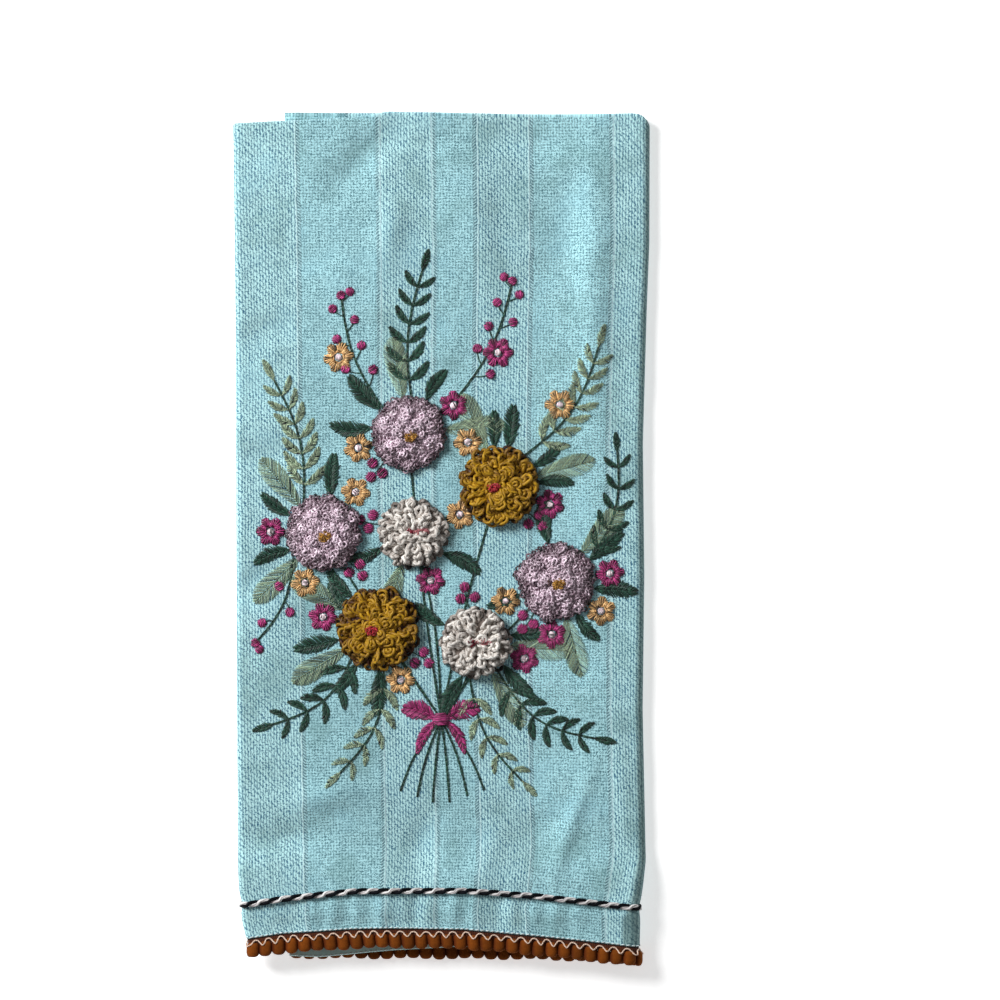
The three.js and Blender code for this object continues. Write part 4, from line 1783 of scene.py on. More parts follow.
OCHRE_LOOPS = LoopKind(
    OCHRE, "ochre_yarn", 0.72,
    (
        LoopRing(26, 0.62, 0.08, 5, 6.2, 4.0, 14, 36),
        LoopRing(22, 0.58, 0.32, 8, 6.4, 3.8, 24, 46),
        LoopRing(18, 0.42, 0.50, 10, 6.6, 3.8, 30, 44),
        LoopRing(12, 0.24, 0.62, 12, 6.6, 4.0, 40, 38),
        LoopRing(6, 0.06, 0.72, 10, 5.6, 3.8, 60, 30),
    ),
    (Heap(1, 0.0, 0.93, 0.78),),
    (Heart(RED_HEART, -2.4, -0.8, 4.6, 3.2, 10, 0.95),),
    lobes=9, notch=0.04, wrinkle=0.28, nested=(0.42,), curl=1.7,
)
CREAM_LOOPS = LoopKind(
    CREAM, "cream_yarn", 0.90,
    (
        LoopRing(24, 0.68, 0.10, 6, 4.4, 2.5, 10, 50),
        LoopRing(21, 0.62, 0.40, 14, 4.6, 2.4, 14, 60),
        LoopRing(17, 0.44, 0.56, 16, 4.6, 2.4, 18, 60),
        LoopRing(11, 0.26, 0.66, 18, 4.6, 2.5, 26, 60),
        LoopRing(6, 0.08, 0.72, 18, 4.0, 2.4, 40, 50),
    ),
    (Heap(1, 0.0, 0.88, 0.6),),
    (
        Heart(WINE_HEART, -1.4, 0.2, 2.0, 3.0, 0, 0.94),
        Heart(ROSE_HEART, 3.6, 0.6, 5.6, 2.0, 4, 0.95),
    ),
    lobes=5, notch=0.13, wrinkle=0.42, curl=1.6,
)
LILAC_LOOPS = LoopKind(
    LILAC, "lilac_yarn", 0.42,
    (),
    (
        Heap(1, 0.0, 0.94, 0.66),
        Heap(12, 0.80, 0.20, 0.56),
        Heap(9, 0.58, 0.20, 0.86),
        Heap(6, 0.32, 0.20, 1.0),
        Heap(1, 0.06, 0.18, 1.0),
    ),
    (Heart(GOLD_HEART, 0.8, -1.4, 4.8, 3.8, 30, 0.96, 0.2),),
    lobes=9, notch=0.05, curl=0.98,
)


@dataclass
class Bloom:
    """One raised bloom of looped yarn, which stands for its CAD node.

    Its seed sets the small differences between its loops.
    """

    node: str
    kind: LoopKind
    seed: int

    def __post_init__(self) -> None:
        """Finds the middle of the bloom on the cloth, its radius and its height."""
        low, high = (np.array(corner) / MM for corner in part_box(self.node))
        middle = (low + high) / 2
        ground = float(PACK.top(middle[0], middle[1]))
        self.middle = np.array([middle[0], middle[1], ground])
        self.radius = float(high[0] - low[0]) / 2
        self.height = float(high[2]) - ground
        self.rng = np.random.default_rng(self.seed)

    def outline(self, turn: Array) -> Array:
        """Share of the radius that the bloom reaches at a turn round its middle."""
        return 1 - self.kind.notch * (0.5 - 0.5 * np.cos(self.kind.lobes * turn + self.seed))

    def spun(self, paths: Array, normals: Array, sides: int, shade: Array | float = 0.0) -> Shape:
        """Yarn along closed paths, kept within the bloom's height, with painted shade that darkens it where
        it lies deep.

        Args:
            paths, normals: points of each loop and a direction across it.
            sides: faces round the yarn.
            shade: extra lightness of each loop.

        Returns:
            All loops as one shape.
        """
        low, high = self.middle[2] + self.kind.yarn, self.middle[2] + self.height
        paths[..., 2] = np.clip(paths[..., 2], low, high)
        deep = np.clip((paths[..., 2] - self.middle[2]) / self.height, 0, 1)
        # Painted shade: yarn deep in the bloom is darkened, as the shade between its loops.
        tone = shade - 0.55 * (1 - smooth(deep / 0.8)) + self.rng.normal(0, 0.08, (len(paths), 1))
        thick = self.kind.yarn * (1 + self.rng.normal(0, 0.06, (len(paths), 1)))
        return tubes(paths, normals, thick, sides, closed=True, tone=tone)

    def petal_loops(self, ring: LoopRing, seed: int, scale: float = 1.0) -> Shape:
        """One ring of loops, or the smaller ones inside them.

        Args:
            ring: the ring.
            seed: what puts loops in place, the same for those inside them.
            scale: size of the loops as a share of the ring's.

        Returns:
            All loops as one shape.
        """
        rng, kind = np.random.default_rng(seed), self.kind
        count = round(ring.count * self.radius / 16)
        turn = 2 * math.pi * (np.arange(count) + ring.foot * 3) / count + rng.normal(0, 0.07, count)
        heading = turn + np.radians(rng.normal(0, ring.spread, count))
        slope = np.radians(ring.slope + rng.normal(0, 5, count))
        roll = np.radians(rng.normal(0, ring.roll, count))
        long = ring.long * scale * (1 + rng.normal(0, 0.1, count))
        wide = ring.wide * scale * (1 + rng.normal(0, 0.12, count))
        t = 2 * math.pi * np.arange(16) / 16
        ahead = np.stack([np.cos(heading), np.sin(heading), 0 * heading], axis=1)
        side = np.stack([-np.sin(heading), np.cos(heading), 0 * heading], axis=1)
        rise = ahead * np.cos(slope)[:, None] + np.array([0, 0, 1.0]) * np.sin(slope)[:, None]
        face = np.cross(rise, side)
        side, face = (
            side * np.cos(roll)[:, None] + face * np.sin(roll)[:, None],
            face * np.cos(roll)[:, None] - side * np.sin(roll)[:, None],
        )
        # A loop is an egg: narrow at its foot and round at its tip.
        along = (0.5 - 0.5 * np.cos(t)) * long[:, None] + (1 - scale) * 0.46 * ring.long
        across = np.sin(t) * (0.75 - 0.35 * np.cos(t)) * wide[:, None] / 1.6
        arch = np.sin(t / 2) * 0.8
        phase = rng.uniform(0, 2 * math.pi, (2, count, 1))
        across = across + kind.wrinkle * scale * np.sin(4 * t + phase[0])
        arch = arch + kind.wrinkle * scale * 1.2 * np.sin(5 * t + phase[1])
        reach = ring.foot * self.radius * self.outline(turn)
        low = ring.low * self.height + rng.normal(0, 0.3, count) + (1 - scale) * 0.5
        low = np.maximum(low, kind.yarn + 0.1)
        seat = np.stack([reach * np.cos(turn), reach * np.sin(turn), low], axis=1)
        paths = (self.middle + seat)[:, None] + along[..., None] * rise[:, None]
        paths = paths + across[..., None] * side[:, None] + arch[..., None] * face[:, None]
        return self.spun(paths, face[:, None], 6)

    def curls(self, heap: Heap) -> Shape:
        """Small curls, heaped up into one ring of mounds.

        Args:
            heap: the ring of mounds.

        Returns:
            All curls as one shape.
        """
        rng, kind = self.rng, self.kind
        size = heap.size * self.radius
        each = max(8, round((size / kind.curl) ** 2 * 1.75 * (1.0 if heap.count > 1 else 0.85)))
        mound, number = (part.reshape(-1) for part in np.divmod(np.arange(heap.count * each), each))
        turn = 2 * math.pi * (mound + heap.away * 2.4) / heap.count + rng.normal(0, 0.16, heap.count)[mound]
        away = heap.away * self.radius * self.outline(turn) * (1 + rng.normal(0, 0.07, heap.count))[mound]
        share = np.sqrt((number + 0.5) / each)
        spin = number * GOLDEN_TURN + mound
        out = np.stack([share * np.cos(spin), share * np.sin(spin)], axis=1)
        top = heap.top * self.height * (1 + rng.normal(0, 0.09, heap.count))[mound]
        seat = np.stack(
            [
                away * np.cos(turn) + size * out[:, 0],
                away * np.sin(turn) + size * out[:, 1],
                top * (0.15 + 0.85 * np.sqrt(1 - 0.92 * share**2)) - kind.yarn,
            ],
            axis=1,
        )
        leaning = np.concatenate([out * 0.9, np.ones((len(out), 1))], axis=1)
        up = unit(leaning + rng.normal(0, 0.4, (len(out), 3)))
        ahead = unit(np.cross(up, rng.normal(0, 1, (len(out), 3))))
        side = np.cross(up, ahead)
        t = 2 * math.pi * np.arange(8) / 8
        width = kind.curl * (1 + rng.normal(0, 0.16, (len(out), 1)))
        lift = 0.42 * np.sin(2 * t + rng.uniform(0, 6, (len(out), 1)))
        paths = (self.middle + seat)[:, None] + (np.cos(t) * width)[..., None] * ahead[:, None]
        paths = paths + (np.sin(t) * width * 0.8)[..., None] * side[:, None] + lift[..., None] * up[:, None]
        # Painted shade: curls towards a mound's rim are darker, as the shade in the grooves between mounds;
        # the rest of their tone is random.
        groove = rng.normal(0, 0.14, (len(out), 1)) - 0.26 * smooth((share - 0.5) / 0.5)[:, None]
        return self.spun(paths, up[:, None], 5, groove)

    def pad(self) -> Shape:
        """Low pad of the bloom's own yarn, which closes the gaps between its loops, darkened as painted
        shade.

        Returns:
            The pad's shape.
        """
        bpy.ops.object.select_all(action="DESELECT")
        bpy.ops.mesh.primitive_uv_sphere_add(segments=28, ring_count=12, radius=1)
        bpy.ops.object.mode_set(mode="EDIT")
        bpy.ops.mesh.select_all(action="SELECT")
        bpy.ops.mesh.bisect(plane_co=(0, 0, 0), plane_no=(0, 0, 1), use_fill=True, clear_inner=True)
        bpy.ops.mesh.select_all(action="SELECT")
        bpy.ops.object.mode_set(mode="OBJECT")
        shape = taken_shape(bpy.context.object)
        turn = np.arctan2(shape.points[:, 1], shape.points[:, 0])
        away = np.linalg.norm(shape.points[:, :2], axis=1)
        # Its top is broad and its sides are steep.
        broad = self.outline(turn) * self.radius * 0.93 * np.maximum(away, 0.01) ** -0.35
        shape.points *= np.stack([broad, broad, np.full_like(broad, self.height * 0.62)], axis=1)
        shape.points += self.middle + np.array([0, 0, 0.1])
        # Painted shade: the whole pad is darkened, as the shade deep between the loops.
        shape.tone[:] = -0.5
        return shape

    def heart(self, heart: Heart, name: str) -> Piece:
        """A patch of short loops of another yarn.

        Args:
            heart: the patch.
            name: the piece's name.

        Returns:
            The new piece.
        """
        count = max(6, round(heart.long * heart.wide * 1.6))
        share = np.sqrt((np.arange(count) + 0.4) / count)
        spin = np.arange(count) * GOLDEN_TURN
        plan = np.stack([share * np.cos(spin) * heart.long, share * np.sin(spin) * heart.wide], axis=1) / 2
        ahead, side = heading(heart.turn), heading(heart.turn + 90)
        plan = np.array([heart.x, heart.y]) + plan[:, :1] * ahead + plan[:, 1:] * side
        t = 2 * math.pi * np.arange(10) / 10
        tilt = self.rng.normal(0, 0.7, (count, 2))
        ring = np.stack([np.cos(t) * 0.62, np.sin(t) * 0.5], axis=1)
        paths = np.zeros((count, 10, 3)) + self.middle
        paths[..., :2] += plan[:, None] + ring
        paths[..., 2] += heart.level * self.height + np.einsum("ij,kj->ik", tilt, ring)
        tone = self.rng.normal(0, 0.14, (count, 1))
        shape = tubes(paths, np.array([0.0, 0.0, 1.0]), heart.yarn, 5, closed=True, tone=tone)
        return shape.piece(name, heart.finish, self.kind.slot)

    def build(self) -> list[Piece]:
        """Makes the bloom and its hearts.

        Returns:
            The loops, then the hearts.
        """
        shapes = [self.pad()]
        for number, ring in enumerate(self.kind.rings):
            for scale in (1.0, *self.kind.nested):
                shapes.append(self.petal_loops(ring, self.seed * 10 + number, scale))
        shapes += [self.curls(heap) for heap in self.kind.heaps]
        whole = shapes[0].joined(*shapes[1:])
        loops = whole.piece(f"{self.node}_loops", self.kind.finish, self.kind.slot, self.node)
        hearts = [self.heart(heart, f"{self.node}_heart_{n}") for n, heart in enumerate(self.kind.hearts)]
        return [loops, *hearts]


# ---- flat embroidery


class Needle:
    """Collects straight stitches by colour and makes one piece of each colour."""

    def __init__(self) -> None:
        """Starts with no stitches, and with fixed small differences between them."""
        self.rows: dict[Thread, list[Array]] = {thread: [] for thread in Thread}
        self.rng = np.random.default_rng(11)

    def sew(
        self, thread: Thread, start: Array, end: Array,
        width: float = 0.5, lift: float = 0.45, base: float = 0.0, shade: float = 0.0,
    ) -> None:
        """Adds stitches.

        Args:
            thread: their colour.
            start, end: their ends in plan, a row for each stitch.
            width: their width.
            lift: how high their middles stand over the cloth.
            base: how far other stitches under them raise them.
            shade: how much lighter they are than the thread's colour.
        """
        start, end = np.atleast_2d(start), np.atleast_2d(end)
        count = len(start)
        ends = start + self.rng.normal(0, 0.05, start.shape), end + self.rng.normal(0, 0.05, end.shape)
        high = lift * (1 + self.rng.normal(0, 0.25, count))
        facts = np.stack([np.full(count, width), high, np.full(count, base)], axis=1)
        tone = self.rng.normal(shade, 0.42, (count, 1))
        self.rows[thread].append(np.concatenate([*ends, facts, tone], axis=1))

    def shape(self, thread: Thread) -> Shape:
        """All stitches of one colour as thin arched strips.

        Args:
            thread: the colour.

        Returns:
            The stitches as one shape.
        """
        rows = np.concatenate(self.rows[thread])
        start, end, (width, lift, base), tone = rows[:, :2], rows[:, 2:4], rows[:, 4:7].T, rows[:, 7:]
        share = np.array([0.0, 0.2, 0.8, 1.0])
        arch = np.array([0.0, 1.0, 1.0, 0.0])
        narrow = np.array([0.6, 1.0, 1.0, 0.6])
        plan = start[:, None] + (end - start)[:, None] * share[:, None]
        ground = PACK.top(plan[..., 0], plan[..., 1]) - 0.05
        height = ground + base[:, None] * np.sqrt(arch) + 0.12 + lift[:, None] * arch
        way = unit(end - start)
        side = np.stack([-way[:, 1], way[:, 0]], axis=1)
        section = np.array([[-0.5, -0.16], [-0.34, 0.12], [0.34, 0.12], [0.5, -0.16]])
        half = width[:, None] * narrow
        points = np.empty((len(rows), 4, 4, 3))
        for number, (across, up) in enumerate(section):
            points[:, :, number, :2] = plan + side[:, None] * (across * half)[..., None]
            points[:, :, number, 2] = height + up
        return lofts(points, np.linalg.norm(end - start, axis=1) / 3, tone)

    def build(self) -> list[Piece]:
        """Makes the piece of each colour that was used.

        Returns:
            The pieces.
        """
        return [
            self.shape(thread).piece(f"stitches_{thread.name.lower()}", thread.value, "embroidery_thread")
            for thread, rows in self.rows.items()
            if rows
        ]


def heading(degrees: float) -> Array:
    """Unit vector in plan at an angle from the X axis."""
    return np.array([math.cos(math.radians(degrees)), math.sin(math.radians(degrees))])


def oval(centre: Array, turn: float, long: float, wide: float, count: int) -> tuple[Array, Array]:
    """Ends of parallel stitches that fill an oval.

    Args:
        centre: its middle in plan.
        turn: heading of the stitches, in degrees.
        long, wide: half its size along the stitches and across them.
        count: stitches.

    Returns:
        Their starts and their ends.
    """
    off = np.linspace(-0.9, 0.9, count)[:, None]
    middle = centre + heading(turn + 90) * off * wide
    reach = heading(turn) * np.sqrt(1 - 0.75 * off**2) * long
    return middle - reach, middle + reach


@dataclass(frozen=True)
class Leaf:
    """A leaf in slanting stitches on both sides of a vein.

    Args:
        x, y: its foot.
        turn: its heading in degrees.
        spacing: from one stitch to the next; more than the thread's width leaves it open.
        bow: sideways bend of its vein, as a share of its length.
    """

    x: float
    y: float
    turn: float
    length: float
    width: float
    thread: Thread = Thread.LEAF
    spacing: float = 0.56
    bow: float = 0.08

    def sew(self, needle: Needle) -> None:
        """Sews both sides from foot to tip, then the vein.

        Args:
            needle: what sews it.
        """
        count = max(6, round(self.length / self.spacing))
        share = np.linspace(0.02, 0.94, count)
        ahead, side = heading(self.turn), heading(self.turn + 90)
        foot = np.array([self.x, self.y])

        def vein(at: Array) -> Array:
            """Points of the vein at shares of its length."""
            bend = self.bow * self.length * np.sin(math.pi * at)
            return foot + ahead * (at * self.length)[:, None] + side * bend[:, None]

        half = self.width / 2 * np.sin(math.pi * share**0.8) ** 0.75
        for hand in (-1, 1):
            ragged = 1 + needle.rng.normal(0, 0.09, count)
            forward = np.clip(share + 0.5 * half / self.length + 0.05, 0, 1.02)
            tip = vein(forward) + side * (hand * half * ragged)[:, None]
            needle.sew(self.thread, vein(share), tip, width=0.5, lift=0.3)
        ribs = np.linspace(0, 0.9, max(3, round(self.length / 2.4)))
        needle.sew(self.thread, vein(ribs[:-1]), vein(ribs[1:]), width=0.4, lift=0.12, base=0.35)


@dataclass(frozen=True)
class Stem:
    """A stem in short stitches along a curve.

    Args:
        start, end: its ends in plan.
        bow: sideways bend in millimetres.
        rows: threads beside each other.
    """

    start: Pair
    end: Pair
    bow: float = 0.0
    thread: Thread = Thread.LEAF
    rows: int = 2

    def at(self, share: Array) -> Array:
        """Points at shares of its length.

        Args:
            share: one share or more.

        Returns:
            A point in plan for each share.
        """
        share = np.atleast_1d(np.asarray(share, float))
        a, b = np.array(self.start), np.array(self.end)
        way = unit(b - a)
        side = np.array([-way[1], way[0]])
        return a + (b - a) * share[:, None] + side * (self.bow * np.sin(math.pi * share))[:, None]

    def turn(self, share: float) -> float:
        """Heading in degrees at a share of its length."""
        low, high = self.at(np.array([share - 0.04, share]))
        return math.degrees(math.atan2(high[1] - low[1], high[0] - low[0]))

    def sew(self, needle: Needle) -> None:
        """Sews its rows of stitches.

        Args:
            needle: what sews it.
        """
        length = math.dist(self.start, self.end)
        joints = np.linspace(0, 1, max(3, round(length / 2.2)) + 1)
        points = self.at(joints)
        way = unit(np.gradient(points, axis=0))
        side = np.stack([-way[:, 1], way[:, 0]], axis=1)
        for row in range(self.rows):
            shift = (row - (self.rows - 1) / 2) * 0.45
            line = points + side * shift
            needle.sew(self.thread, line[:-1], line[1:] + way[:-1] * 0.35, width=0.48, lift=0.3)


@dataclass(frozen=True)
class Sprig:
    """A stem with leaves in pairs and one at its tip."""

    stem: Stem
    pairs: int
    leaf: float
    thread: Thread = Thread.LEAF
    splay: float = 48.0
    wide: float = 0.34
    first: float = 0.18

    def sew(self, needle: Needle) -> None:
        """Sews the stem and its leaves, which get smaller towards the tip.

        Args:
            needle: what sews it.
        """
        self.stem.sew(needle)
        spacing = 0.78 if self.thread is Thread.SAGE else 0.56
        places = [(share, hand) for share in np.linspace(self.first, 0.88, self.pairs) for hand in (-1, 1)]
        for number, (share, hand) in enumerate([*places, (1.0, 0)]):
            length = self.leaf * (1.05 - 0.2 * share if hand == 0 else 1.05 - 0.35 * share)
            turn = self.stem.turn(share) + hand * (self.splay - 6 * math.sin(number + hand))
            shape = (length, length * self.wide, self.thread, spacing, 0.08 * hand)
            Leaf(*self.stem.at(share)[0], turn, *shape).sew(needle)


@dataclass(frozen=True)
class Berry:
    """A round dot in satin stitch."""

    x: float
    y: float
    size: float = 5.2
    turn: float = 35.0

    def sew(self, needle: Needle) -> None:
        """Sews rays from its middle, darker as painted shade, then a smaller, slightly lighter layer over
        them.

        Args:
            needle: what sews it.
        """
        centre, radius = np.array([self.x, self.y]), self.size / 2
        rays = np.array([heading(self.turn + 360 * n / 16) for n in range(16)])
        # Painted shade: the rays under the top layer are darker than it.
        needle.sew(Thread.MAGENTA, centre + rays * 0.3, centre + rays * radius, 0.56, 0.3, 0.0, -0.3)
        top = oval(centre, self.turn, 0.8 * radius, 0.7 * radius, 5)
        needle.sew(Thread.MAGENTA, *top, 0.6, 0.4, 0.4, 0.15)


@dataclass(frozen=True)
class BerrySprig:
    """A stem with berries on short stalks."""

    stem: Stem
    berries: int
    stalk: float = 7.5

    def sew(self, needle: Needle) -> None:
        """Sews the stem, then stalks left and right with their berries.

        Args:
            needle: what sews it.
        """
        self.stem.sew(needle)
        for number, share in enumerate(np.linspace(0.22, 0.95, self.berries)):
            hand = 1 if number % 2 else -1
            foot = self.stem.at(share)[0]
            reach = self.stalk * (1.05 - 0.35 * share)
            tip = foot + heading(self.stem.turn(share) + hand * 46) * reach
            Stem(tuple(foot), tuple(tip), 0.5 * hand, rows=1).sew(needle)
            Berry(tip[0], tip[1], 4.7 - 0.7 * share, 30 + 40 * number).sew(needle)
        x, y = self.stem.at(1.0)[0]
        Berry(x, y, 4.2).sew(needle)


@dataclass(frozen=True)
class Daisy:
    """A flat flower of satin petals round a knotted middle."""

    x: float
    y: float
    thread: Thread = Thread.MAGENTA
    radius: float = 6.6
    turn: float = 0.0
    petals: int = 6

    def sew(self, needle: Needle) -> None:
        """Sews a darker under layer, painted shade that shows between the stitches, and a fan of stitches for
        each petal, then the white middle.

        Args:
            needle: what sews it.
        """
        centre = np.array([self.x, self.y])
        fan = np.radians(np.linspace(-140, 140, 10))[:, None]
        for number in range(self.petals):
            ahead = heading(self.turn + 360 * number / self.petals)
            side = np.array([-ahead[1], ahead[0]])
            middle = centre + ahead * self.radius * 0.62
            ragged = self.radius * (1 + needle.rng.normal(0, 0.06, (10, 1)))
            rim = middle + (np.cos(fan) * 0.37 * ahead + np.sin(fan) * 0.36 * side) * ragged
            turn = self.turn + 90 + 360 * number / self.petals
            under = oval(middle, turn, 0.33 * self.radius, 0.34 * self.radius, 6)
            # Painted shade: the under layer is darker than the fan sewn over it.
            needle.sew(self.thread, *under, 0.75, 0.2, 0.0, -0.45)
            foot = centre + ahead * self.radius * 0.36 + side * np.sin(fan) * 0.1 * self.radius
            needle.sew(self.thread, foot, rim, 0.6, 0.45, 0.3, 0.05)
        for along, base in ((0, 0.3), (90, 0.6)):
            knot = oval(centre, self.turn + along, 1.45, 1.1, 5)
            needle.sew(Thread.WHITE, *knot, 0.55, 0.35, base)


@dataclass(frozen=True)
class Bow:
    """A ribbon bow in satin stitch, tied round the stems."""

    x: float
    y: float
    loop: float = 15.0

    def sew(self, needle: Needle) -> None:
        """Sews two loops, two tails and the band across the stems.

        Args:
            needle: what sews it.
        """
        for hand in (-1, 1):
            satin = (Thread.MAGENTA, 0.46, 0.1 * hand)
            Leaf(self.x + hand * 2, self.y, 90 - hand * 72, self.loop, 8.2, *satin).sew(needle)
            Leaf(self.x + hand, self.y, 270 + hand * 32, self.loop * 1.15, 4.4, *satin).sew(needle)
        band = oval(np.array([self.x, self.y]), 3.0, 3.8, 2.5, 11)
        needle.sew(Thread.MAGENTA, *band, width=0.6, lift=0.8, base=0.7)


@dataclass(frozen=True)
class Fern:
    """Single slanting stitches on both sides of a line, as open as a feather, from a foot."""

    x: float
    y: float
    turn: float
    length: float = 25.0
    width: float = 10.0

    def sew(self, needle: Needle) -> None:
        """Sews both sides, then the line between them.

        Args:
            needle: what sews it.
        """
        share = np.linspace(0, 1, round(self.length / 0.95))
        spine = np.array([self.x, self.y]) + heading(self.turn) * (share * self.length)[:, None]
        reach = (self.width * 0.8 * np.sin(math.pi * (0.15 + 0.8 * share)))[:, None]
        for hand in (-1, 1):
            tip = spine + heading(self.turn + hand * 38) * reach
            needle.sew(Thread.SAGE, spine, tip, 0.36, 0.2, 0.0, 0.1)
        needle.sew(Thread.SAGE, spine[:-1], spine[1:], 0.4, 0.25, 0.1)


class Motif(Enum):
    """What lies at the rim of a raised bloom, in the order in which it is sewn."""

    FERN = "fern"
    LEAF = "leaf"
    BERRIES = "berries"
    GOLD = "gold"
    PINK = "pink"

    def placed(self, foot: Array, turn: float) -> list[object]:
        """What is sewn for one motif.

        Args:
            foot: where it starts, in plan.
            turn: its heading in degrees.

        Returns:
            Its parts, in the order in which they are sewn.
        """
        ahead, side = heading(turn), heading(turn + 90)
        if self is Motif.FERN:
            return [Fern(*foot, turn)]
        if self is Motif.LEAF:
            length, bow = 17.5 + 2.5 * math.sin(turn), 0.09 * math.sin(turn * 5)
            return [Leaf(*foot, turn + 8 * math.sin(turn * 3), length, length * 0.36, bow=bow)]
        if self is Motif.BERRIES:
            reaches = ((4.2, -3.0), (4.6, 2.9), (9.0, 0.4))
            places = [foot + ahead * reach + side * aside for reach, aside in reaches]
            stalk = Stem(tuple(foot), tuple(places[2]), 0.4, rows=1)
            return [stalk, *(Berry(*at, 5.0, turn) for at in places)]
        thread = Thread.MAGENTA if self is Motif.PINK else Thread.ORANGE
        return [Daisy(*(foot + ahead * 6.8), thread, 6.3, turn)]


# Headings at which each kind of motif, in the order of Motif, leaves each bloom.
RIMS: Mapping[str, tuple[tuple[float, ...], ...]] = {
    "bloom_lilac_high": ((100, 5), (62, 140, 170), (228,), (196,), (32,)),
    "bloom_ochre_high": ((112, 15), (98, 76, 30, 4), (-44,), (126,), (-20,)),
    "bloom_cream_middle": ((250,), (-35, 205), (165,), (22,), (-70,)),
    "bloom_lilac_left": ((130, 225), (78, 150, 207, 285), (312,), (52, 250), (178,)),
    "bloom_lilac_right": ((-75, 48), (102, 32, -12, -58, 200), (234,), (-34,), (8, -95)),
    "bloom_ochre_low": ((212, 150), (196, 238, 130, 272), (325,), (294,), (168,)),
    "bloom_cream_low": ((-5, -60), (12, -38, -112, 150), (100,), (54,), (-18,)),
}


@dataclass
class Bouquet:
    """The flat stitches of the bouquet round the raised blooms.

    Args:
        tie: where the stems are tied.
        feet: X of the stems' cut ends.
    """

    blooms: Sequence[Bloom]
    tie: Pair = (0.0, -76.0)
    feet: tuple[float, ...] = (-17, -10, -3.5, 3.5, 11, 18)
    foot_y: float = -112.0

    def motifs(self) -> list[object]:
        """Every motif of the bouquet.

        Returns:
            The motifs, in the order in which they are sewn.
        """
        heads = [tuple(bloom.middle[:2]) for bloom in self.blooms]
        stems = [Stem(head, self.tie, 3.0 * math.sin(n * 2.0)) for n, head in enumerate(heads)]
        stems += [Stem(self.tie, (foot, self.foot_y + abs(foot) * 0.35), foot * 0.12) for foot in self.feet]
        sprigs = [
            Sprig(Stem((-12, 56), (-8, 112), 4.0), 6, 11.5),
            Sprig(Stem((34, 34), (66, 80), -6.0), 7, 12.0, Thread.SAGE, 42),
            Sprig(Stem((-58, 12), (-70, 66), -5.0), 7, 12.0, Thread.SAGE, 42),
            Sprig(Stem((60, -12), (74, 36), -6.0), 5, 10.0),
            Sprig(Stem((-36, -46), (-70, -78), 7.0), 5, 11.5),
            Sprig(Stem((24, -56), (64, -84), -7.0), 6, 11.5),
            Sprig(Stem((-24, -54), (-42, -98), 6.0), 5, 11.0, Thread.SAGE, 42),
            Sprig(Stem((12, -58), (34, -102), -5.0), 5, 10.5, Thread.SAGE, 42),
            BerrySprig(Stem((-24, 54), (-42, 102), 4.0), 7),
            BerrySprig(Stem((6, 58), (30, 108), -4.0), 8),
            BerrySprig(Stem((-62, -8), (-78, -44), 4.0), 4, 6.0),
        ]
        rims: list[object] = []
        for number, motif in enumerate(Motif):
            for bloom in self.blooms:
                for turn in RIMS[bloom.node][number]:
                    rims += motif.placed(bloom.middle[:2] + heading(turn) * (bloom.radius - 1), turn)
        tops = [Daisy(-43, 76, Thread.ORANGE, turn=10), Daisy(24, 78), Daisy(50, 56, Thread.ORANGE)]
        return [*stems, *sprigs, *rims, *tops, Bow(*self.tie)]

    def build(self) -> list[Piece]:
        """Sews every motif.

        Returns:
            A piece for each colour of thread.
        """
        needle = Needle()
        for motif in self.motifs():
            motif.sew(needle)
        return needle.build()


# ---- studio


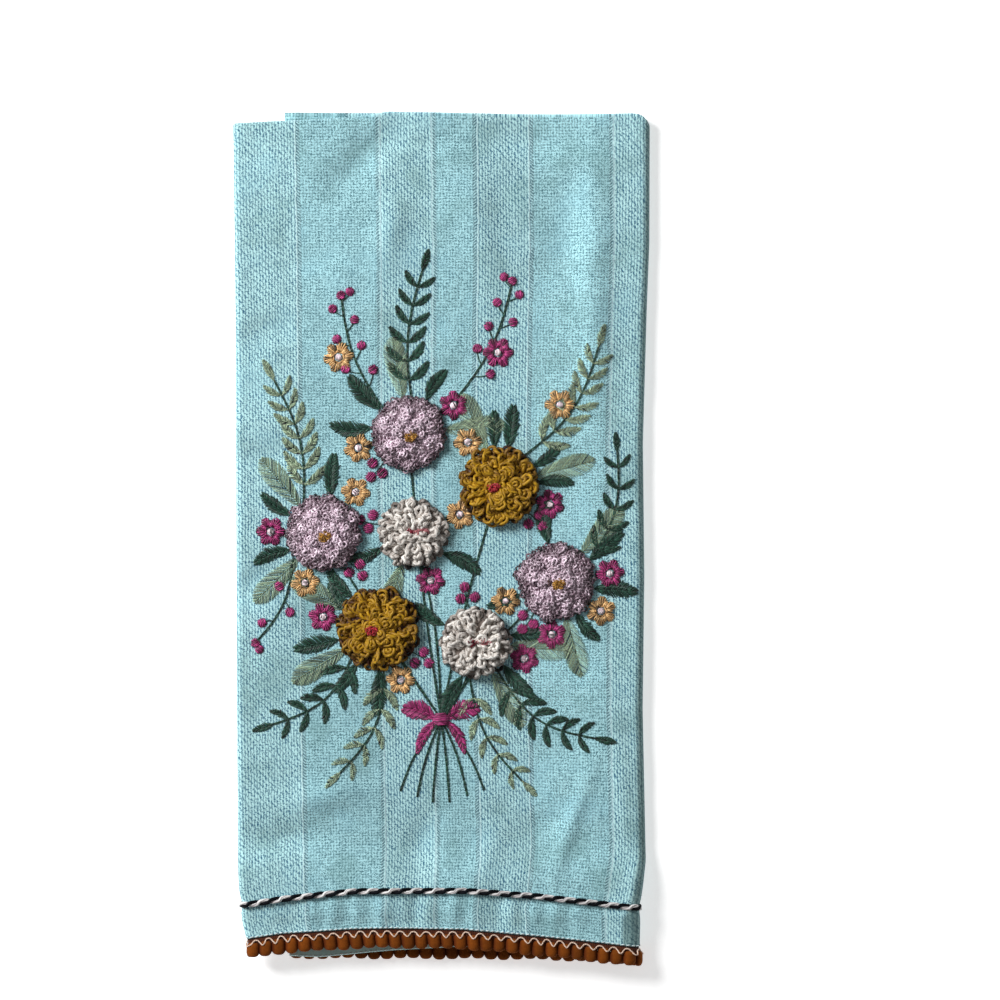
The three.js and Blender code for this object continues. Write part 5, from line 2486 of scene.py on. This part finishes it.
@dataclass
class Studio:
    """Pale floor, soft light from the upper left and a camera straight above.

    Args:
        aim, wide: middle and width in metres of the view, at the towel's level.
        key, sky: strength of the lamp and of the light from all round.
    """

    aim: Pair = (0.0248, 0.0160)
    wide: float = 0.42
    lens: float = 180.0
    sensor: float = 36.0
    level: float = 0.009
    key: float = 29.0
    sky: float = 0.18

    def floor(self) -> None:
        """Lays the floor just under the towel."""
        bpy.ops.object.select_all(action="DESELECT")
        bpy.ops.mesh.primitive_plane_add(size=8.0, location=(0, 0, -0.0002))
        floor = bpy.context.object
        floor.name = "floor"
        bpy.ops.object.transform_apply(location=True)
        floor.data.materials.append(PaleFloor().material())

    def light(self) -> None:
        """Adds a large soft lamp at the upper left and an even sky."""
        bpy.ops.object.light_add(type="AREA", location=(-1.08, 0.72, 1.0))
        lamp = bpy.context.object
        lamp.name = "key"
        lamp.data.shape = "DISK"
        lamp.data.size = 0.7
        lamp.data.energy = self.key
        lamp.rotation_euler = lamp.location.to_track_quat("Z", "Y").to_euler()
        world = bpy.data.worlds.new("studio")
        world.use_nodes = True
        set_sockets(world.node_tree.nodes["Background"], Color=(1, 1, 1, 1), Strength=self.sky)
        bpy.context.scene.world = world

    def camera(self) -> None:
        """Hangs the camera over the towel."""
        height = self.wide * self.lens / self.sensor + self.level
        bpy.ops.object.camera_add(location=(*self.aim, height), rotation=(0, 0, 0))
        camera = bpy.context.object
        camera.data.lens = self.lens
        camera.data.sensor_width = self.sensor
        bpy.context.scene.camera = camera

    def build(self) -> None:
        """Sets the scene up."""
        self.floor()
        self.light()
        self.camera()
        bpy.context.scene.view_settings.view_transform = "Standard"


BLOOMS = (
    Bloom("bloom_ochre_low", OCHRE_LOOPS, 1),
    Bloom("bloom_cream_low", CREAM_LOOPS, 2),
    Bloom("bloom_lilac_right", LILAC_LOOPS, 3),
    Bloom("bloom_lilac_left", LILAC_LOOPS, 4),
    Bloom("bloom_cream_middle", CREAM_LOOPS, 5),
    Bloom("bloom_ochre_high", OCHRE_LOOPS, 6),
    Bloom("bloom_lilac_high", LILAC_LOOPS, 7),
)


def main() -> None:
    """Builds the towel, its trimmings, its embroidery and the studio, and reports each piece."""
    logging.basicConfig(level=logging.INFO, format="%(message)s")
    towel = TowelCloth()
    sheet, *sewn = towel.build()
    added = [*sewn, *TwistedCord().build(), *BobbleTrim().build()]
    for bloom in BLOOMS:
        added += bloom.build()
    added += Bouquet(BLOOMS).build()
    for piece in (sheet, *added):
        log.info("%s: %d faces", piece.name, len(piece.data.polygons))
    Studio().build()


if __name__ == "__main__":
    main()
